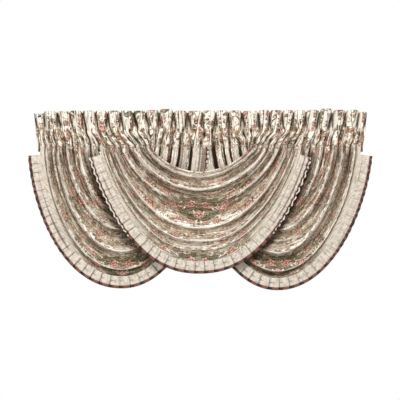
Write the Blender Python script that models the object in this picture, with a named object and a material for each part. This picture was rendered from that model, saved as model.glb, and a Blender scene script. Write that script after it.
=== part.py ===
"""A gathered rod-pocket valance with three overlapping swags, each edged with a pleated border.

Metres, +Z up and +X to the right. The front faces -Y. The origin is the middle of the heading's
top edge, level with the axis of the rod that would run through the pocket.
"""

import math
from bisect import bisect
from collections import namedtuple

import bmesh
import bpy

# Heading: a ruffle that stands above a rod pocket, both gathered.
HEADING_TOP_HALF = 0.802  # half the ruffle's width along its top edge
HEADING_SEAM_HALF = 0.780  # half the heading's width along the seam below the pocket
STITCH_DROP = 0.086  # from the top edge down to the stitching above the pocket
SEAM_DROP = 0.168  # from the top edge down to the seam that holds the swags
TAIL_DROP = 0.181  # from the top edge down to the end of the seam allowance
POCKET_REACH = 0.0165  # from the rod's axis to each pocket wall's inner face
POCKET_WALL = 0.0024  # thickness of the cloth round the pocket
RUFFLE_THICKNESS = 0.0046  # the ruffle's two layers of cloth
TAIL_THICKNESS = 0.0048  # the seam allowance's two layers of cloth
PIPE_DEPTH = 0.032  # how far a gather of the ruffle stands forward
PIPE_ROUNDNESS = 0.7  # below 1 a gather is fuller, with a sharper crease beside it
CREASE_DROP = 0.010  # how far the top edge sinks in the crease between two gathers
POCKET_GATHER_DEPTH = 0.010  # how far a gather of the pocket stands out
POCKET_UNEVENNESS = 1.7  # how far, in radians, the pocket's gathers wander along it
STATIONS_PER_PIPE = (0.0, 0.2, 0.5, 0.8)  # where each gather is shaped, across its width

# A level of the heading's outline: its height, how far its face stands out from the heading's
# middle plane, and how much it takes of a ruffle gather's depth, of a pocket gather's depth and
# of a gather's rise above the top edge.
Level = namedtuple("Level", "name height face ruffle pocket rise")
OUTER_LEVELS = (
    Level("tail_end", -TAIL_DROP, TAIL_THICKNESS / 2, ruffle=0.0, pocket=0.0, rise=0.0),
    Level("seam", -SEAM_DROP, TAIL_THICKNESS / 2, ruffle=0.0, pocket=0.0, rise=0.0),
    Level("pocket_foot", -0.158, 0.0146, ruffle=0.0, pocket=0.4, rise=0.0),
    Level("pocket_middle", -0.135, POCKET_REACH + POCKET_WALL, ruffle=0.0, pocket=1.0, rise=0.0),
    Level("pocket_upper", -0.104, POCKET_REACH + POCKET_WALL, ruffle=0.0, pocket=0.7, rise=0.0),
    Level("stitching", -STITCH_DROP, 0.0063, ruffle=0.3, pocket=0.0, rise=0.0),
    Level("ruffle_middle", -0.052, RUFFLE_THICKNESS / 2, ruffle=0.75, pocket=0.0, rise=0.0),
    Level("ruffle_shoulder", -0.014, RUFFLE_THICKNESS / 2, ruffle=1.0, pocket=0.0, rise=0.5),
    Level("top_edge", 0.0, 0.0, ruffle=0.9, pocket=0.0, rise=1.0),
)
INNER_LEVELS = (
    Level("foot", -0.163, 0.0, ruffle=0.0, pocket=0.0, rise=0.0),
    Level("low", -0.156, 0.0119, ruffle=0.0, pocket=0.4, rise=0.0),
    Level("middle", -0.135, POCKET_REACH, ruffle=0.0, pocket=1.0, rise=0.0),
    Level("upper", -0.104, POCKET_REACH, ruffle=0.0, pocket=0.7, rise=0.0),
    Level("roof", -0.092, 0.0, ruffle=0.0, pocket=0.0, rise=0.0),
)

# Swags: sheets that hang from the seam in nested curved folds.
CLOTH = 0.0024
SEWN_GAP = 0.0003  # between pieces that are sewn to each other
EDGE_GAP = 0.0011  # between a swag's curved edge and the border sewn along it
SEAM_FACE = TAIL_THICKNESS / 2 + SEWN_GAP + CLOTH / 2  # middle of a swag's cloth at the seam
ROW_PITCH = 0.021  # the usual step between two rows of points across a swag
MOST_STEPS = 3  # between two folds
SWAG_COLUMNS = 28
SEAM_STEP = 0.020  # from the seam to the first points below it
FINE_STEPS = 2000  # in which a swag's curved edge is measured
EDGE_STEP = 0.002  # the step in angle that gives the edge's direction
FOLD_ROUNDNESS = 0.85  # below 1 a fold is fuller, with a sharper crease beside it
GATHER_DROP = 0.018  # within about this drop below the seam a fold opens to its full height
SIDE_ANGLE = math.radians(48)
BELLY_ANGLE = math.radians(90)

# Borders and edgings.
BORDER_WIDTH = 0.044
EDGING_WIDTH = 0.0125
EDGING_THICKNESS = 0.0045
BORDER_CLOTH = 0.0016
PLEAT_PITCH = 0.042
PLEAT_STEP = 0.0035  # how far each flat pleat stands over the next
PLEAT_RETURN = 0.09  # the part of a pleat's pitch that turns back under it
BORDER_START_DROP = 0.045  # from the seam down to the border's upper ends

# A run of gathers: how many, how wide each is, and how far its top stands above the edge.
Gathers = namedtuple("Gathers", "count width rise")
GATHERS = (
    Gathers(count=1, width=0.048, rise=-0.017),
    Gathers(count=2, width=0.062, rise=-0.004),
    Gathers(count=6, width=0.061, rise=-0.002),
    Gathers(count=1, width=0.067, rise=0.001),
    Gathers(count=1, width=0.069, rise=0.006),
    Gathers(count=1, width=0.065, rise=-0.002),
    Gathers(count=1, width=0.075, rise=-0.003),
    Gathers(count=3, width=0.0625, rise=-0.001),
    Gathers(count=1, width=0.079, rise=-0.003),
    Gathers(count=4, width=0.0576, rise=0.001),
    Gathers(count=1, width=0.067, rise=0.002),
    Gathers(count=1, width=0.0625, rise=0.0085),
    Gathers(count=2, width=0.0625, rise=0.002),
    Gathers(count=1, width=0.041, rise=-0.008),
)

# A fold of a swag: where its two ends leave the seam, out from the swag's centre line, how far its
# belly hangs below the seam, and how far it stands forward of the cloth's mean face on its way down.
Fold = namedtuple("Fold", "name left right drop horn side belly")
CENTRE_FOLDS = (
    Fold("turned_top", left=0.230, right=0.246, drop=0.127, horn=-0.006, side=-0.016, belly=-0.016),
    Fold("top_roll", left=0.248, right=0.264, drop=0.152, horn=0.009, side=0.017, belly=0.016),
    Fold("trough_1", left=0.278, right=0.294, drop=0.176, horn=-0.010, side=-0.017, belly=-0.012),
    Fold("fold_2", left=0.308, right=0.324, drop=0.212, horn=0.009, side=0.017, belly=0.017),
    Fold("trough_2", left=0.336, right=0.352, drop=0.244, horn=-0.010, side=-0.016, belly=-0.012),
    Fold("fold_3", left=0.368, right=0.384, drop=0.282, horn=0.009, side=0.014, belly=0.003),
    Fold("trough_3", left=0.383, right=0.399, drop=0.312, horn=-0.009, side=-0.011, belly=-0.009),
    Fold("fold_4", left=0.406, right=0.422, drop=0.394, horn=0.011, side=0.016, belly=0.012),
    Fold("trough_4", left=0.426, right=0.442, drop=0.420, horn=-0.011, side=-0.014, belly=-0.010),
    Fold("fold_5", left=0.437, right=0.453, drop=0.456, horn=-0.004, side=0.011, belly=0.017),
    Fold("trough_5", left=0.445, right=0.461, drop=0.477, horn=-0.003, side=-0.009, belly=-0.007),
    Fold("fold_6", left=0.455, right=0.471, drop=0.497, horn=0.008, side=0.011, belly=0.010),
    Fold("trough_6", left=0.465, right=0.481, drop=0.523, horn=-0.005, side=-0.007, belly=-0.008),
    Fold("edge", left=0.475, right=0.491, drop=0.552, horn=0.0, side=0.0, belly=0.0),
)
SIDE_FOLDS = (
    Fold("turned_top", left=0.118, right=0.144, drop=0.118, horn=-0.003, side=-0.010, belly=-0.011),
    Fold("top_roll", left=0.122, right=0.149, drop=0.144, horn=0.003, side=0.009, belly=0.010),
    Fold("trough_1", left=0.129, right=0.154, drop=0.188, horn=-0.003, side=-0.009, belly=-0.010),
    Fold("fold_2", left=0.139, right=0.161, drop=0.236, horn=0.003, side=0.009, belly=0.010),
    Fold("trough_2", left=0.168, right=0.170, drop=0.282, horn=-0.007, side=-0.011, belly=-0.010),
    Fold("fold_3", left=0.206, right=0.196, drop=0.332, horn=0.009, side=0.013, belly=0.010),
    Fold("trough_3", left=0.234, right=0.222, drop=0.361, horn=-0.009, side=-0.012, belly=-0.009),
    Fold("fold_4", left=0.261, right=0.246, drop=0.400, horn=0.009, side=0.013, belly=0.010),
    Fold("trough_4", left=0.284, right=0.274, drop=0.431, horn=-0.009, side=-0.012, belly=-0.008),
    Fold("fold_5", left=0.304, right=0.299, drop=0.506, horn=0.010, side=0.014, belly=0.013),
    Fold("trough_5", left=0.338, right=0.321, drop=0.532, horn=-0.012, side=-0.014, belly=-0.009),
    Fold("fold_6", left=0.362, right=0.339, drop=0.592, horn=0.009, side=0.014, belly=0.011),
    Fold("trough_6", left=0.376, right=0.350, drop=0.610, horn=-0.008, side=-0.009, belly=-0.010),
    Fold("edge", left=0.390, right=0.360, drop=0.625, horn=0.0, side=0.0, belly=0.0),
)

# A swag: its table of folds, whether its left and right ends change places, its centre line, its
# width and length against the table's, how far its mean face comes forward below the seam and
# within what drop, the powers that shape how its edge spreads and falls, and how far it steps
# forward where its inner edge crosses its neighbour's.
Swag = namedtuple("Swag", "name folds mirrored centre width length forward soon spread fall lap")
SWAGS = (
    Swag("left", SIDE_FOLDS, False, -0.3775, 1.0, 1.0, 0.034, 0.060, 2.09, 1.74, 0.018),
    Swag("right", SIDE_FOLDS, True, 0.366, 1.03, 1.014, 0.034, 0.060, 2.10, 1.60, -0.003),
    Swag("centre", CENTRE_FOLDS, False, -0.008, 1.0, 1.0, 0.088, 0.032, 2.29, 1.18, 0.0),
)
TOP_SPREAD_POWER = 1.72  # the same powers for a swag's highest fold
TOP_FALL_POWER = 1.45
LAP_REACH = 0.125  # how far from the valance's middle the crossing edges are stepped
LAP_RAMP = 0.045  # the width over which that step comes in
LAP_START = 0.014  # the drop below the seam at which it starts
LAP_DROP = 0.030  # the drop over which it comes in

# Colours of the cloth: red, green, blue and roughness.
JACQUARD = (0.60, 0.54, 0.44, 0.45)
IVORY = (0.78, 0.73, 0.62, 0.60)
RUSSET = (0.19, 0.07, 0.045, 0.70)


def smooth(share):
    """An even step from 0 to 1 as share runs from 0 to 1."""
    share = min(1.0, max(0.0, share))
    return share * share * (3 - 2 * share)


def mix(low, high, share):
    return low + (high - low) * share


def clear_scene():
    for item in list(bpy.data.objects):
        bpy.data.objects.remove(item, do_unlink=True)


def material(name, finish):
    made = bpy.data.materials.new(name)
    made.use_nodes = True
    shader = made.node_tree.nodes["Principled BSDF"]
    shader.inputs["Base Color"].default_value = (*finish[:3], 1.0)
    shader.inputs["Roughness"].default_value = finish[3]
    shader.inputs["Metallic"].default_value = 0.0
    return made


def add_object(name, built, finish):
    """Puts a finished bmesh in the scene, shaded smooth, with a material of its own."""
    bmesh.ops.recalc_face_normals(built, faces=built.faces)
    mesh = bpy.data.meshes.new(name)
    built.to_mesh(mesh)
    built.free()
    mesh.shade_smooth()
    mesh.materials.append(material(name, finish))
    item = bpy.data.objects.new(name, mesh)
    bpy.context.scene.collection.objects.link(item)
    return item


def draped_grid(across, down, place):
    """A grid of points, each moved to place(column, row)."""
    built = bmesh.new()
    bmesh.ops.create_grid(built, x_segments=across, y_segments=down, size=0.5)
    for point in built.verts:
        column = round((point.co.x + 0.5) * across)
        row = round((0.5 - point.co.y) * down)
        point.co = place(column, row)
    return built


def add_sheet(name, across, down, place, thickness, finish):
    """A sheet of cloth, given its thickness to both sides of the points that place gives."""
    item = add_object(name, draped_grid(across, down, place), finish)
    body = item.modifiers.new("cloth", "SOLIDIFY")
    body.thickness = thickness
    body.offset = 0.0
    return item


# Heading


def pipe_edges():
    """The gathers' edges along the top, from the left end, with each one's rise."""
    widths = [run.width for run in GATHERS for _ in range(run.count)]
    rises = [run.rise for run in GATHERS for _ in range(run.count)]
    scale = 2 * HEADING_TOP_HALF / sum(widths)
    edges = [-HEADING_TOP_HALF]
    for width in widths:
        edges.append(edges[-1] + width * scale)
    return edges, rises


def heading_stations():
    """Each station along the heading: its place along the top, its place in its gather, the
    gather's rise and its number."""
    edges, rises = pipe_edges()
    found = []
    for number, rise in enumerate(rises):
        for share in STATIONS_PER_PIPE:
            found.append((mix(edges[number], edges[number + 1], share), share, rise, number))
    found.append((edges[-1], 1.0, rises[-1], len(rises) - 1))
    return found


def narrowed(along, height):
    """A place along the top edge, drawn in towards the seam's width at this height."""
    share = min(1.0, -height / SEAM_DROP)
    return along * mix(1.0, HEADING_SEAM_HALF / HEADING_TOP_HALF, share)


def pipe_wave(share):
    """How far a round gather stands out across its width: 0 at its edges, 1 at its crest."""
    return max(0.0, math.sin(math.pi * share)) ** PIPE_ROUNDNESS


def pocket_wave(share, number):
    """The pocket's tighter gathers, two to each of the ruffle's and uneven."""
    wander = POCKET_UNEVENNESS * math.sin(2.4 * number)
    return 0.5 - 0.5 * math.cos(4 * math.pi * share + wander)


def outline(levels, share, rise, number):
    """A closed outline at one station, up its front and down its back, as (forward, height)
    pairs. A level whose face is on the middle plane is one point, and any other is two."""
    pipe = pipe_wave(share)
    ruffle = PIPE_DEPTH * (pipe - 0.5)
    gather = POCKET_GATHER_DEPTH * pocket_wave(share, number)
    top = rise * pipe - CREASE_DROP * (1 - pipe)
    front, back = [], []
    for level in levels:
        height = level.height + level.rise * top
        middle = level.ruffle * ruffle
        reach = level.face + level.pocket * gather
        front.append((middle + reach, height))
        if level.face:
            back.append((middle - reach, height))
    return front + back[::-1]


def tube(built, outlines, stations):
    """A tube through one closed outline at each station. It returns its two end loops."""
    rings = []
    for outline, station in zip(outlines, stations):
        points = [(narrowed(station[0], high), -out, high) for out, high in outline]
        rings.append([built.verts.new(point) for point in points])
    for near, far in zip(rings, rings[1:]):
        for index in range(len(near)):
            after = (index + 1) % len(near)
            built.faces.new((near[index], near[after], far[after], far[index]))
    return [
        [built.edges.get((ring[i - 1], ring[i])) for i in range(len(ring))]
        for ring in (rings[0], rings[-1])
    ]


def add_heading():
    """One strip folded over at its top edge: an outer skin, and the open rod pocket inside."""
    built = bmesh.new()
    stations = heading_stations()
    outer = tube(built, [outline(OUTER_LEVELS, *station[1:]) for station in stations], stations)
    inner = tube(built, [outline(INNER_LEVELS, *station[1:]) for station in stations], stations)
    for outside, inside in zip(outer, inner):
        bmesh.ops.bridge_loops(built, edges=outside + inside)
    add_object("heading", built, JACQUARD)


# Swags


def rounded(share):
    """A fold's cross-section, from its crest at 0 to the crease beside it at 1."""
    return max(0.0, math.cos(0.5 * math.pi * share)) ** FOLD_ROUNDNESS


def heaped(above, below, share):
    """A height between two folds: round over the higher one, and sharp in the lower one."""
    if above > below:
        return below + (above - below) * rounded(share)
    return above + (below - above) * rounded(1 - share)


def between_folds(swag, row):
    """The two spreads, the drop and the three heights at a row, which may lie between folds."""
    index = min(int(row), len(swag.folds) - 2)
    share = row - index
    above, below = swag.folds[index], swag.folds[index + 1]
    left = mix(above.left, below.left, share) * swag.width
    right = mix(above.right, below.right, share) * swag.width
    if swag.mirrored:
        left, right = right, left
    return (
        left,
        right,
        mix(above.drop, below.drop, share) * swag.length,
        heaped(above.horn, below.horn, share),
        heaped(above.side, below.side, share),
        heaped(above.belly, below.belly, share),
    )


def fold_height(horn, side, belly, angle, down):
    """How far a fold stands out at an angle along it, from 0 at one horn to pi at the other. It is
    flat where it is sewn into the seam."""
    angle = min(angle, math.pi - angle)
    free = 1 - math.exp(-down / GATHER_DROP)
    if angle < SIDE_ANGLE:
        return free * mix(horn, side, smooth(angle / SIDE_ANGLE))
    return free * mix(side, belly, smooth((angle - SIDE_ANGLE) / (BELLY_ANGLE - SIDE_ANGLE)))


def mean_face(swag, across, down):
    """How far forward a swag's mean face is, at a place across the valance and below the seam."""
    away = swag.forward * (1 - math.exp(-down / swag.soon))
    inward = -across if swag.centre < 0 else across
    crossing = smooth((LAP_REACH - inward) / LAP_RAMP) * smooth((down - LAP_START) / LAP_DROP)
    return SEAM_FACE + away + swag.lap * crossing


def swag_point(swag, row, angle):
    """The middle of the cloth at a row and an angle: 0 at the left horn, pi at the right."""
    left, right, drop, horn, side, belly = between_folds(swag, row)
    depth = drop / (swag.folds[-1].drop * swag.length)
    spread_power = mix(TOP_SPREAD_POWER, swag.spread, depth)
    fall_power = mix(TOP_FALL_POWER, swag.fall, depth)
    run = math.cos(angle)
    half = left if run > 0 else right
    across = swag.centre - half * math.copysign(abs(run) ** (2 / spread_power), run)
    down = drop * max(0.0, math.sin(angle)) ** (2 / fall_power)
    forward = mean_face(swag, across, down) + fold_height(horn, side, belly, angle, down)
    return across, -forward, -SEAM_DROP - SEWN_GAP - down


def swag_rows(swag):
    """Every fold's row, and one or two rows between folds that lie well apart."""
    rows = []
    for index, (above, below) in enumerate(zip(swag.folds, swag.folds[1:])):
        steps = min(MOST_STEPS, max(1, round((below.drop - above.drop) / ROW_PITCH)))
        rows += [index + step / steps for step in range(steps)]
    return rows + [len(swag.folds) - 1]


def edge_points(swag):
    """Points of a swag's curved edge at many even angles, from its left end to its right."""
    last = len(swag.folds) - 1
    angles = [math.pi * step / FINE_STEPS for step in range(FINE_STEPS + 1)]
    return [swag_point(swag, last, angle) for angle in angles]


def lengths_along(points):
    """The length from the first point to each of them."""
    lengths = [0.0]
    for before, after in zip(points, points[1:]):
        lengths.append(lengths[-1] + math.dist(before, after))
    return lengths


def angles_at(lengths, distances):
    """The angles at which a swag's curved edge reaches these lengths."""
    return [math.pi * bisect(lengths, distance) / FINE_STEPS for distance in distances]


def add_swag(swag):
    """A swag's cloth, with its columns evenly pitched along its edge between the two horns."""
    rows = swag_rows(swag)
    lengths = lengths_along(edge_points(swag))
    middle = lengths[-1] - 2 * SEAM_STEP
    steps = SWAG_COLUMNS - 2
    distances = [SEAM_STEP + middle * step / steps for step in range(steps + 1)]
    angles = [0.0, *angles_at(lengths, distances), math.pi]

    def place(column, row):
        return swag_point(swag, rows[row], angles[column])

    add_sheet(f"swag_{swag.name}", SWAG_COLUMNS, len(rows) - 1, place, CLOTH, JACQUARD)


# Borders and edgings


def edge_frame(swag, angle):
    """A point of a swag's curved edge, and the way out from it in the valance's plane."""
    last = len(swag.folds) - 1
    before = swag_point(swag, last, max(0.0, angle - EDGE_STEP))
    after = swag_point(swag, last, min(math.pi, angle + EDGE_STEP))
    run, rise = after[0] - before[0], after[2] - before[2]
    long = math.hypot(run, rise)
    return swag_point(swag, last, angle), (rise / long, -run / long)


def pleat_angles(swag):
    """The angles of the pleats' two edges, evenly pitched along the swag's curved edge."""
    points = edge_points(swag)
    lengths = lengths_along(points)
    below = [i for i, point in enumerate(points) if point[2] < -SEAM_DROP - BORDER_START_DROP]
    first, final = lengths[below[0]], lengths[below[-1]]
    count = round((final - first) / PLEAT_PITCH)
    pitch = (final - first) / count
    distances = []
    for number in range(count):
        distances += [first + number * pitch, first + (number + 1 - PLEAT_RETURN) * pitch]
    return angles_at(lengths, distances + [final])


def add_edged_strip(name, swag, start, width, thickness, stepped, finish):
    """A strip that starts a little way out from a swag's curved edge and follows it round."""
    angles = pleat_angles(swag)

    def place(column, row):
        point, out = edge_frame(swag, angles[column])
        away = start + width * row
        step = PLEAT_STEP * (column % 2) if stepped else 0.5 * PLEAT_STEP
        return point[0] + out[0] * away, point[1] - step, point[2] + out[1] * away

    add_sheet(name, len(angles) - 1, 1, place, thickness, finish)


def add_border(swag):
    """The ivory border: flat pleats, each lapping over the next."""
    name = f"border_{swag.name}"
    add_edged_strip(name, swag, EDGE_GAP, BORDER_WIDTH, BORDER_CLOTH, True, IVORY)


def add_edging(swag):
    """The two-tone edging along the border's outer edge."""
    start = EDGE_GAP + BORDER_WIDTH + SEWN_GAP
    name = f"edging_{swag.name}"
    add_edged_strip(name, swag, start, EDGING_WIDTH, EDGING_THICKNESS, False, RUSSET)


def main():
    clear_scene()
    add_heading()
    for swag in SWAGS:
        add_swag(swag)
        add_border(swag)
        add_edging(swag)


main()
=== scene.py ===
"""Dresses a gathered rod-pocket valance: its ruffled heading, three folded swags, the pleated
border round each swag and the two-tone edging along each border.

Metres, +Z up and +X to the right. The front faces -Y. The origin is the middle of the heading's
top edge.
"""

import logging
import math
from bisect import bisect
from collections.abc import Callable, Iterable
from dataclasses import dataclass
from enum import Enum
from itertools import accumulate, pairwise
from typing import NamedTuple

import bmesh
import bpy
from mathutils import Matrix, Vector, noise
from mathutils.kdtree import KDTree


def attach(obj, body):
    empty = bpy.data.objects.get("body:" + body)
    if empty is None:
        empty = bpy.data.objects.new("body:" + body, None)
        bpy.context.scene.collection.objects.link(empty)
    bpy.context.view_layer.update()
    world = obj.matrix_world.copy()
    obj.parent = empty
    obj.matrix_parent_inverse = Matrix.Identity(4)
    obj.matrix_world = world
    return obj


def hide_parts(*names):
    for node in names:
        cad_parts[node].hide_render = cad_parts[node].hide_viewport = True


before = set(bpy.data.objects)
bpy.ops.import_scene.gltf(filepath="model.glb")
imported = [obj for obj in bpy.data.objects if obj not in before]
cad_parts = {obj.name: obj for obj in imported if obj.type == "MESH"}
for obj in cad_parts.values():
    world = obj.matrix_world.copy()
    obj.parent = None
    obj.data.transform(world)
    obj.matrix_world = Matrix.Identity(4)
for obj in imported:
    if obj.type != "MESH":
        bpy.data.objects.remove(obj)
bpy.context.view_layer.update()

logging.basicConfig(level=logging.INFO, format="%(message)s")
LOG = logging.getLogger("valance")

BODY = "root"

# The seam and the sewn gaps, as the solids have them.
SEAM_DROP = 0.168
STITCH_DROP = 0.086
SEAM_FACE = 0.0039
SEWN_GAP = 0.0003
EDGE_GAP = 0.0011


class Slot(Enum):
    """The record's material slots."""

    JACQUARD = "jacquard"
    BORDER = "border"
    EDGING = "edging"


class Held(Enum):
    """How a sheet of cloth is held."""

    GATHERED = "gathered"
    FOLDED = "folded"


class Spot(NamedTuple):
    """One point of a sheet.

    Attributes:
        place: Where it is.
        cloth: Its place on the flat cloth.
        tone: Painted light and shade: from -1 for painted shade deep in a crease to 1 for painted
            light on a ridge, and over 1 for a painted highlight on a crest. On the edging it picks
            between its two colours instead.
        fold: How far it lies along its fold, and across the folds.
        plain: From 0 where the cloth is printed to 1 where it isn't.
    """

    place: tuple[float, float, float]
    cloth: tuple[float, float]
    tone: float
    fold: tuple[float, float] = (0.0, 0.0)
    plain: float = 0.0


class Fold(NamedTuple):
    """A fold of a swag, or a trough between two: where its ends leave the seam, out from the
    swag's centre line, how far its belly hangs below the seam, and how far it stands forward at
    its horns, its sides and its belly."""

    name: str
    left: float
    right: float
    drop: float
    horn: float
    side: float
    belly: float


CENTRE_FOLDS = (
    Fold("turned_top", 0.230, 0.246, drop=0.127, horn=-0.006, side=-0.016, belly=-0.016),
    Fold("top_roll", 0.248, 0.264, drop=0.152, horn=0.009, side=0.017, belly=0.016),
    Fold("trough_1", 0.278, 0.294, drop=0.176, horn=-0.010, side=-0.017, belly=-0.012),
    Fold("fold_2", 0.308, 0.324, drop=0.212, horn=0.009, side=0.017, belly=0.017),
    Fold("trough_2", 0.336, 0.352, drop=0.244, horn=-0.010, side=-0.016, belly=-0.012),
    Fold("fold_3", 0.368, 0.384, drop=0.282, horn=0.009, side=0.014, belly=0.003),
    Fold("trough_3", 0.383, 0.399, drop=0.312, horn=-0.009, side=-0.011, belly=-0.009),
    Fold("fold_4", 0.406, 0.422, drop=0.394, horn=0.011, side=0.016, belly=0.012),
    Fold("trough_4", 0.426, 0.442, drop=0.420, horn=-0.011, side=-0.014, belly=-0.010),
    Fold("fold_5", 0.437, 0.453, drop=0.456, horn=-0.004, side=0.011, belly=0.017),
    Fold("trough_5", 0.445, 0.461, drop=0.477, horn=-0.003, side=-0.009, belly=-0.007),
    Fold("fold_6", 0.455, 0.471, drop=0.497, horn=0.008, side=0.011, belly=0.010),
    Fold("trough_6", 0.465, 0.481, drop=0.523, horn=-0.005, side=-0.007, belly=-0.008),
    Fold("edge", 0.475, 0.491, drop=0.552, horn=0.0, side=0.0, belly=0.0),
)
SIDE_FOLDS = (
    Fold("turned_top", 0.118, 0.144, drop=0.118, horn=-0.003, side=-0.010, belly=-0.011),
    Fold("top_roll", 0.122, 0.149, drop=0.144, horn=0.003, side=0.009, belly=0.010),
    Fold("trough_1", 0.129, 0.154, drop=0.188, horn=-0.003, side=-0.009, belly=-0.010),
    Fold("fold_2", 0.139, 0.161, drop=0.236, horn=0.003, side=0.009, belly=0.010),
    Fold("trough_2", 0.168, 0.170, drop=0.282, horn=-0.007, side=-0.011, belly=-0.010),
    Fold("fold_3", 0.206, 0.196, drop=0.332, horn=0.009, side=0.013, belly=0.010),
    Fold("trough_3", 0.234, 0.222, drop=0.361, horn=-0.009, side=-0.012, belly=-0.009),
    Fold("fold_4", 0.261, 0.246, drop=0.400, horn=0.009, side=0.013, belly=0.010),
    Fold("trough_4", 0.284, 0.274, drop=0.431, horn=-0.009, side=-0.012, belly=-0.008),
    Fold("fold_5", 0.304, 0.299, drop=0.506, horn=0.010, side=0.014, belly=0.013),
    Fold("trough_5", 0.338, 0.321, drop=0.532, horn=-0.012, side=-0.014, belly=-0.009),
    Fold("fold_6", 0.362, 0.339, drop=0.592, horn=0.009, side=0.014, belly=0.011),
    Fold("trough_6", 0.376, 0.350, drop=0.610, horn=-0.008, side=-0.009, belly=-0.010),
    Fold("edge", 0.390, 0.360, drop=0.625, horn=0.0, side=0.0, belly=0.0),
)


class Gathers(NamedTuple):
    """A run of gathers: how many, how wide each is, and its rise above the top edge."""

    count: int
    width: float
    rise: float


GATHERS = (
    Gathers(count=1, width=0.048, rise=-0.017),
    Gathers(count=2, width=0.062, rise=-0.004),
    Gathers(count=6, width=0.061, rise=-0.002),
    Gathers(count=1, width=0.067, rise=0.001),
    Gathers(count=1, width=0.069, rise=0.006),
    Gathers(count=1, width=0.065, rise=-0.002),
    Gathers(count=1, width=0.075, rise=-0.003),
    Gathers(count=3, width=0.0625, rise=-0.001),
    Gathers(count=1, width=0.079, rise=-0.003),
    Gathers(count=4, width=0.0576, rise=0.001),
    Gathers(count=1, width=0.067, rise=0.002),
    Gathers(count=1, width=0.0625, rise=0.0085),
    Gathers(count=2, width=0.0625, rise=0.002),
    Gathers(count=1, width=0.041, rise=-0.008),
)


class Level(NamedTuple):
    """A level of the heading: its height, how far its face stands out from the heading's middle
    plane, how much it takes of a ruffle gather's depth, of a pocket gather's depth and of a
    gather's rise, and how many rows of cloth reach it from the level below."""

    name: str
    height: float
    face: float
    ruffle: float
    pocket: float
    rise: float
    rows: int


LEVELS = (
    Level("tail_end", -0.198, 0.0024, ruffle=0.0, pocket=0.0, rise=0.0, rows=0),
    Level("seam", -SEAM_DROP, 0.0110, ruffle=0.0, pocket=0.9, rise=0.0, rows=1),
    Level("pocket_foot", -0.158, 0.0140, ruffle=0.0, pocket=1.0, rise=0.0, rows=3),
    Level("pocket_middle", -0.135, 0.0189, ruffle=0.0, pocket=1.0, rise=0.0, rows=4),
    Level("pocket_upper", -0.104, 0.0189, ruffle=0.0, pocket=0.7, rise=0.0, rows=4),
    Level("stitching", -STITCH_DROP, 0.0063, ruffle=0.3, pocket=0.0, rise=0.0, rows=4),
    Level("ruffle_middle", -0.052, 0.0023, ruffle=0.75, pocket=0.0, rise=0.0, rows=6),
    Level("ruffle_shoulder", -0.014, 0.0023, ruffle=1.0, pocket=0.0, rise=0.5, rows=6),
    Level("top_edge", 0.0, 0.0, ruffle=0.9, pocket=0.0, rise=1.0, rows=4),
)


def smooth(share: float) -> float:
    """An even step from 0 to 1 as share runs from 0 to 1."""
    share = min(1.0, max(0.0, share))
    return share * share * (3 - 2 * share)


def step_up(value: float, start: float, run: float) -> float:
    """0 up to a start, and an even step up to 1 over the run after it."""
    return smooth((value - start) / run)


def step_down(value: float, end: float, run: float) -> float:
    """An even step down from 1 over the run before an end, and 0 past the end."""
    return smooth((end - value) / run)


def bump(share: float, middle: float, half: float) -> float:
    """A smooth bump from 0 to 1 and back, with its top at the middle and this half width."""
    return smooth(1 - abs(share - middle) / half)


def mix(low: float, high: float, share: float) -> float:
    """The value that lies this share of the way from low to high."""
    return low + (high - low) * share


def through(before: float, low: float, high: float, after: float, share: float) -> float:
    """A smooth curve through the middle two of four evenly spaced values.

    Args:
        before: The value before those two.
        low: The first of the two.
        high: The second.
        after: The value after them.
        share: How far along between the two, from 0 to 1.

    Returns:
        The curve's value there.
    """
    turn = (2 * before - 5 * low + 4 * high - after) * share
    return low + 0.5 * share * (
        high - before + turn + (3 * (low - high) + after - before) * share * share
    )


def walk(steps: Iterable[float], start: float = 0.0) -> list[float]:
    """How far along each place is, from the steps between them."""
    return list(accumulate(steps, initial=start))


def ripple(*place: float) -> float:
    """Even noise between about -1 and 1 at a place of up to three numbers."""
    return noise.noise(Vector((*place, *([0.0] * (3 - len(place))))))


def ridge_at(*place: float) -> float:
    """1 on the sharp lines where the noise crosses zero, and 0 away from them."""
    return 1 - min(1.0, 2.4 * abs(ripple(*place)))


def sheet_piece(
    name: str, spots: list[list[Spot]], thickness: float, finish: bpy.types.Material
) -> bpy.types.Object:
    """Makes a thin sheet of cloth from a grid.

    Args:
        name: The piece's name.
        spots: The sheet's points, in columns that each run down it.
        thickness: The cloth's thickness, given to both sides of the points.
        finish: Its material.

    Returns:
        The sheet's object.
    """
    built = bmesh.new()
    cloth = built.loops.layers.uv.new("cloth")
    fold = built.loops.layers.uv.new("fold")
    # Each point's tone: its painted light and shade, and on the edging which of its two colours it
    # has.
    tone = built.verts.layers.float.new("tone")
    plain = built.verts.layers.float.new("plain")
    columns, rows = len(spots) - 1, len(spots[0]) - 1
    bmesh.ops.create_grid(built, x_segments=columns, y_segments=rows, size=0.5)
    found = {}
    for point in built.verts:
        column = round((point.co.x + 0.5) * columns)
        row = round((0.5 - point.co.y) * rows)
        found[point] = spots[column][row]
    for point, spot in found.items():
        point.co = spot.place
        point[tone] = spot.tone
        point[plain] = spot.plain
    for face in built.faces:
        for corner in face.loops:
            corner[cloth].uv = found[corner.vert].cloth
            corner[fold].uv = found[corner.vert].fold
    mesh = bpy.data.meshes.new(name)
    built.to_mesh(mesh)
    built.free()
    mesh.shade_smooth()
    mesh.materials.append(finish)
    piece = bpy.data.objects.new(name, mesh)
    bpy.context.scene.collection.objects.link(piece)
    body = piece.modifiers.new("cloth", "SOLIDIFY")
    body.thickness = thickness
    body.offset = 0.0
    return piece


# Finishes

Colour = tuple[float, float, float]
Socket = bpy.types.NodeSocket
Sockets = dict[str, Socket]


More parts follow.
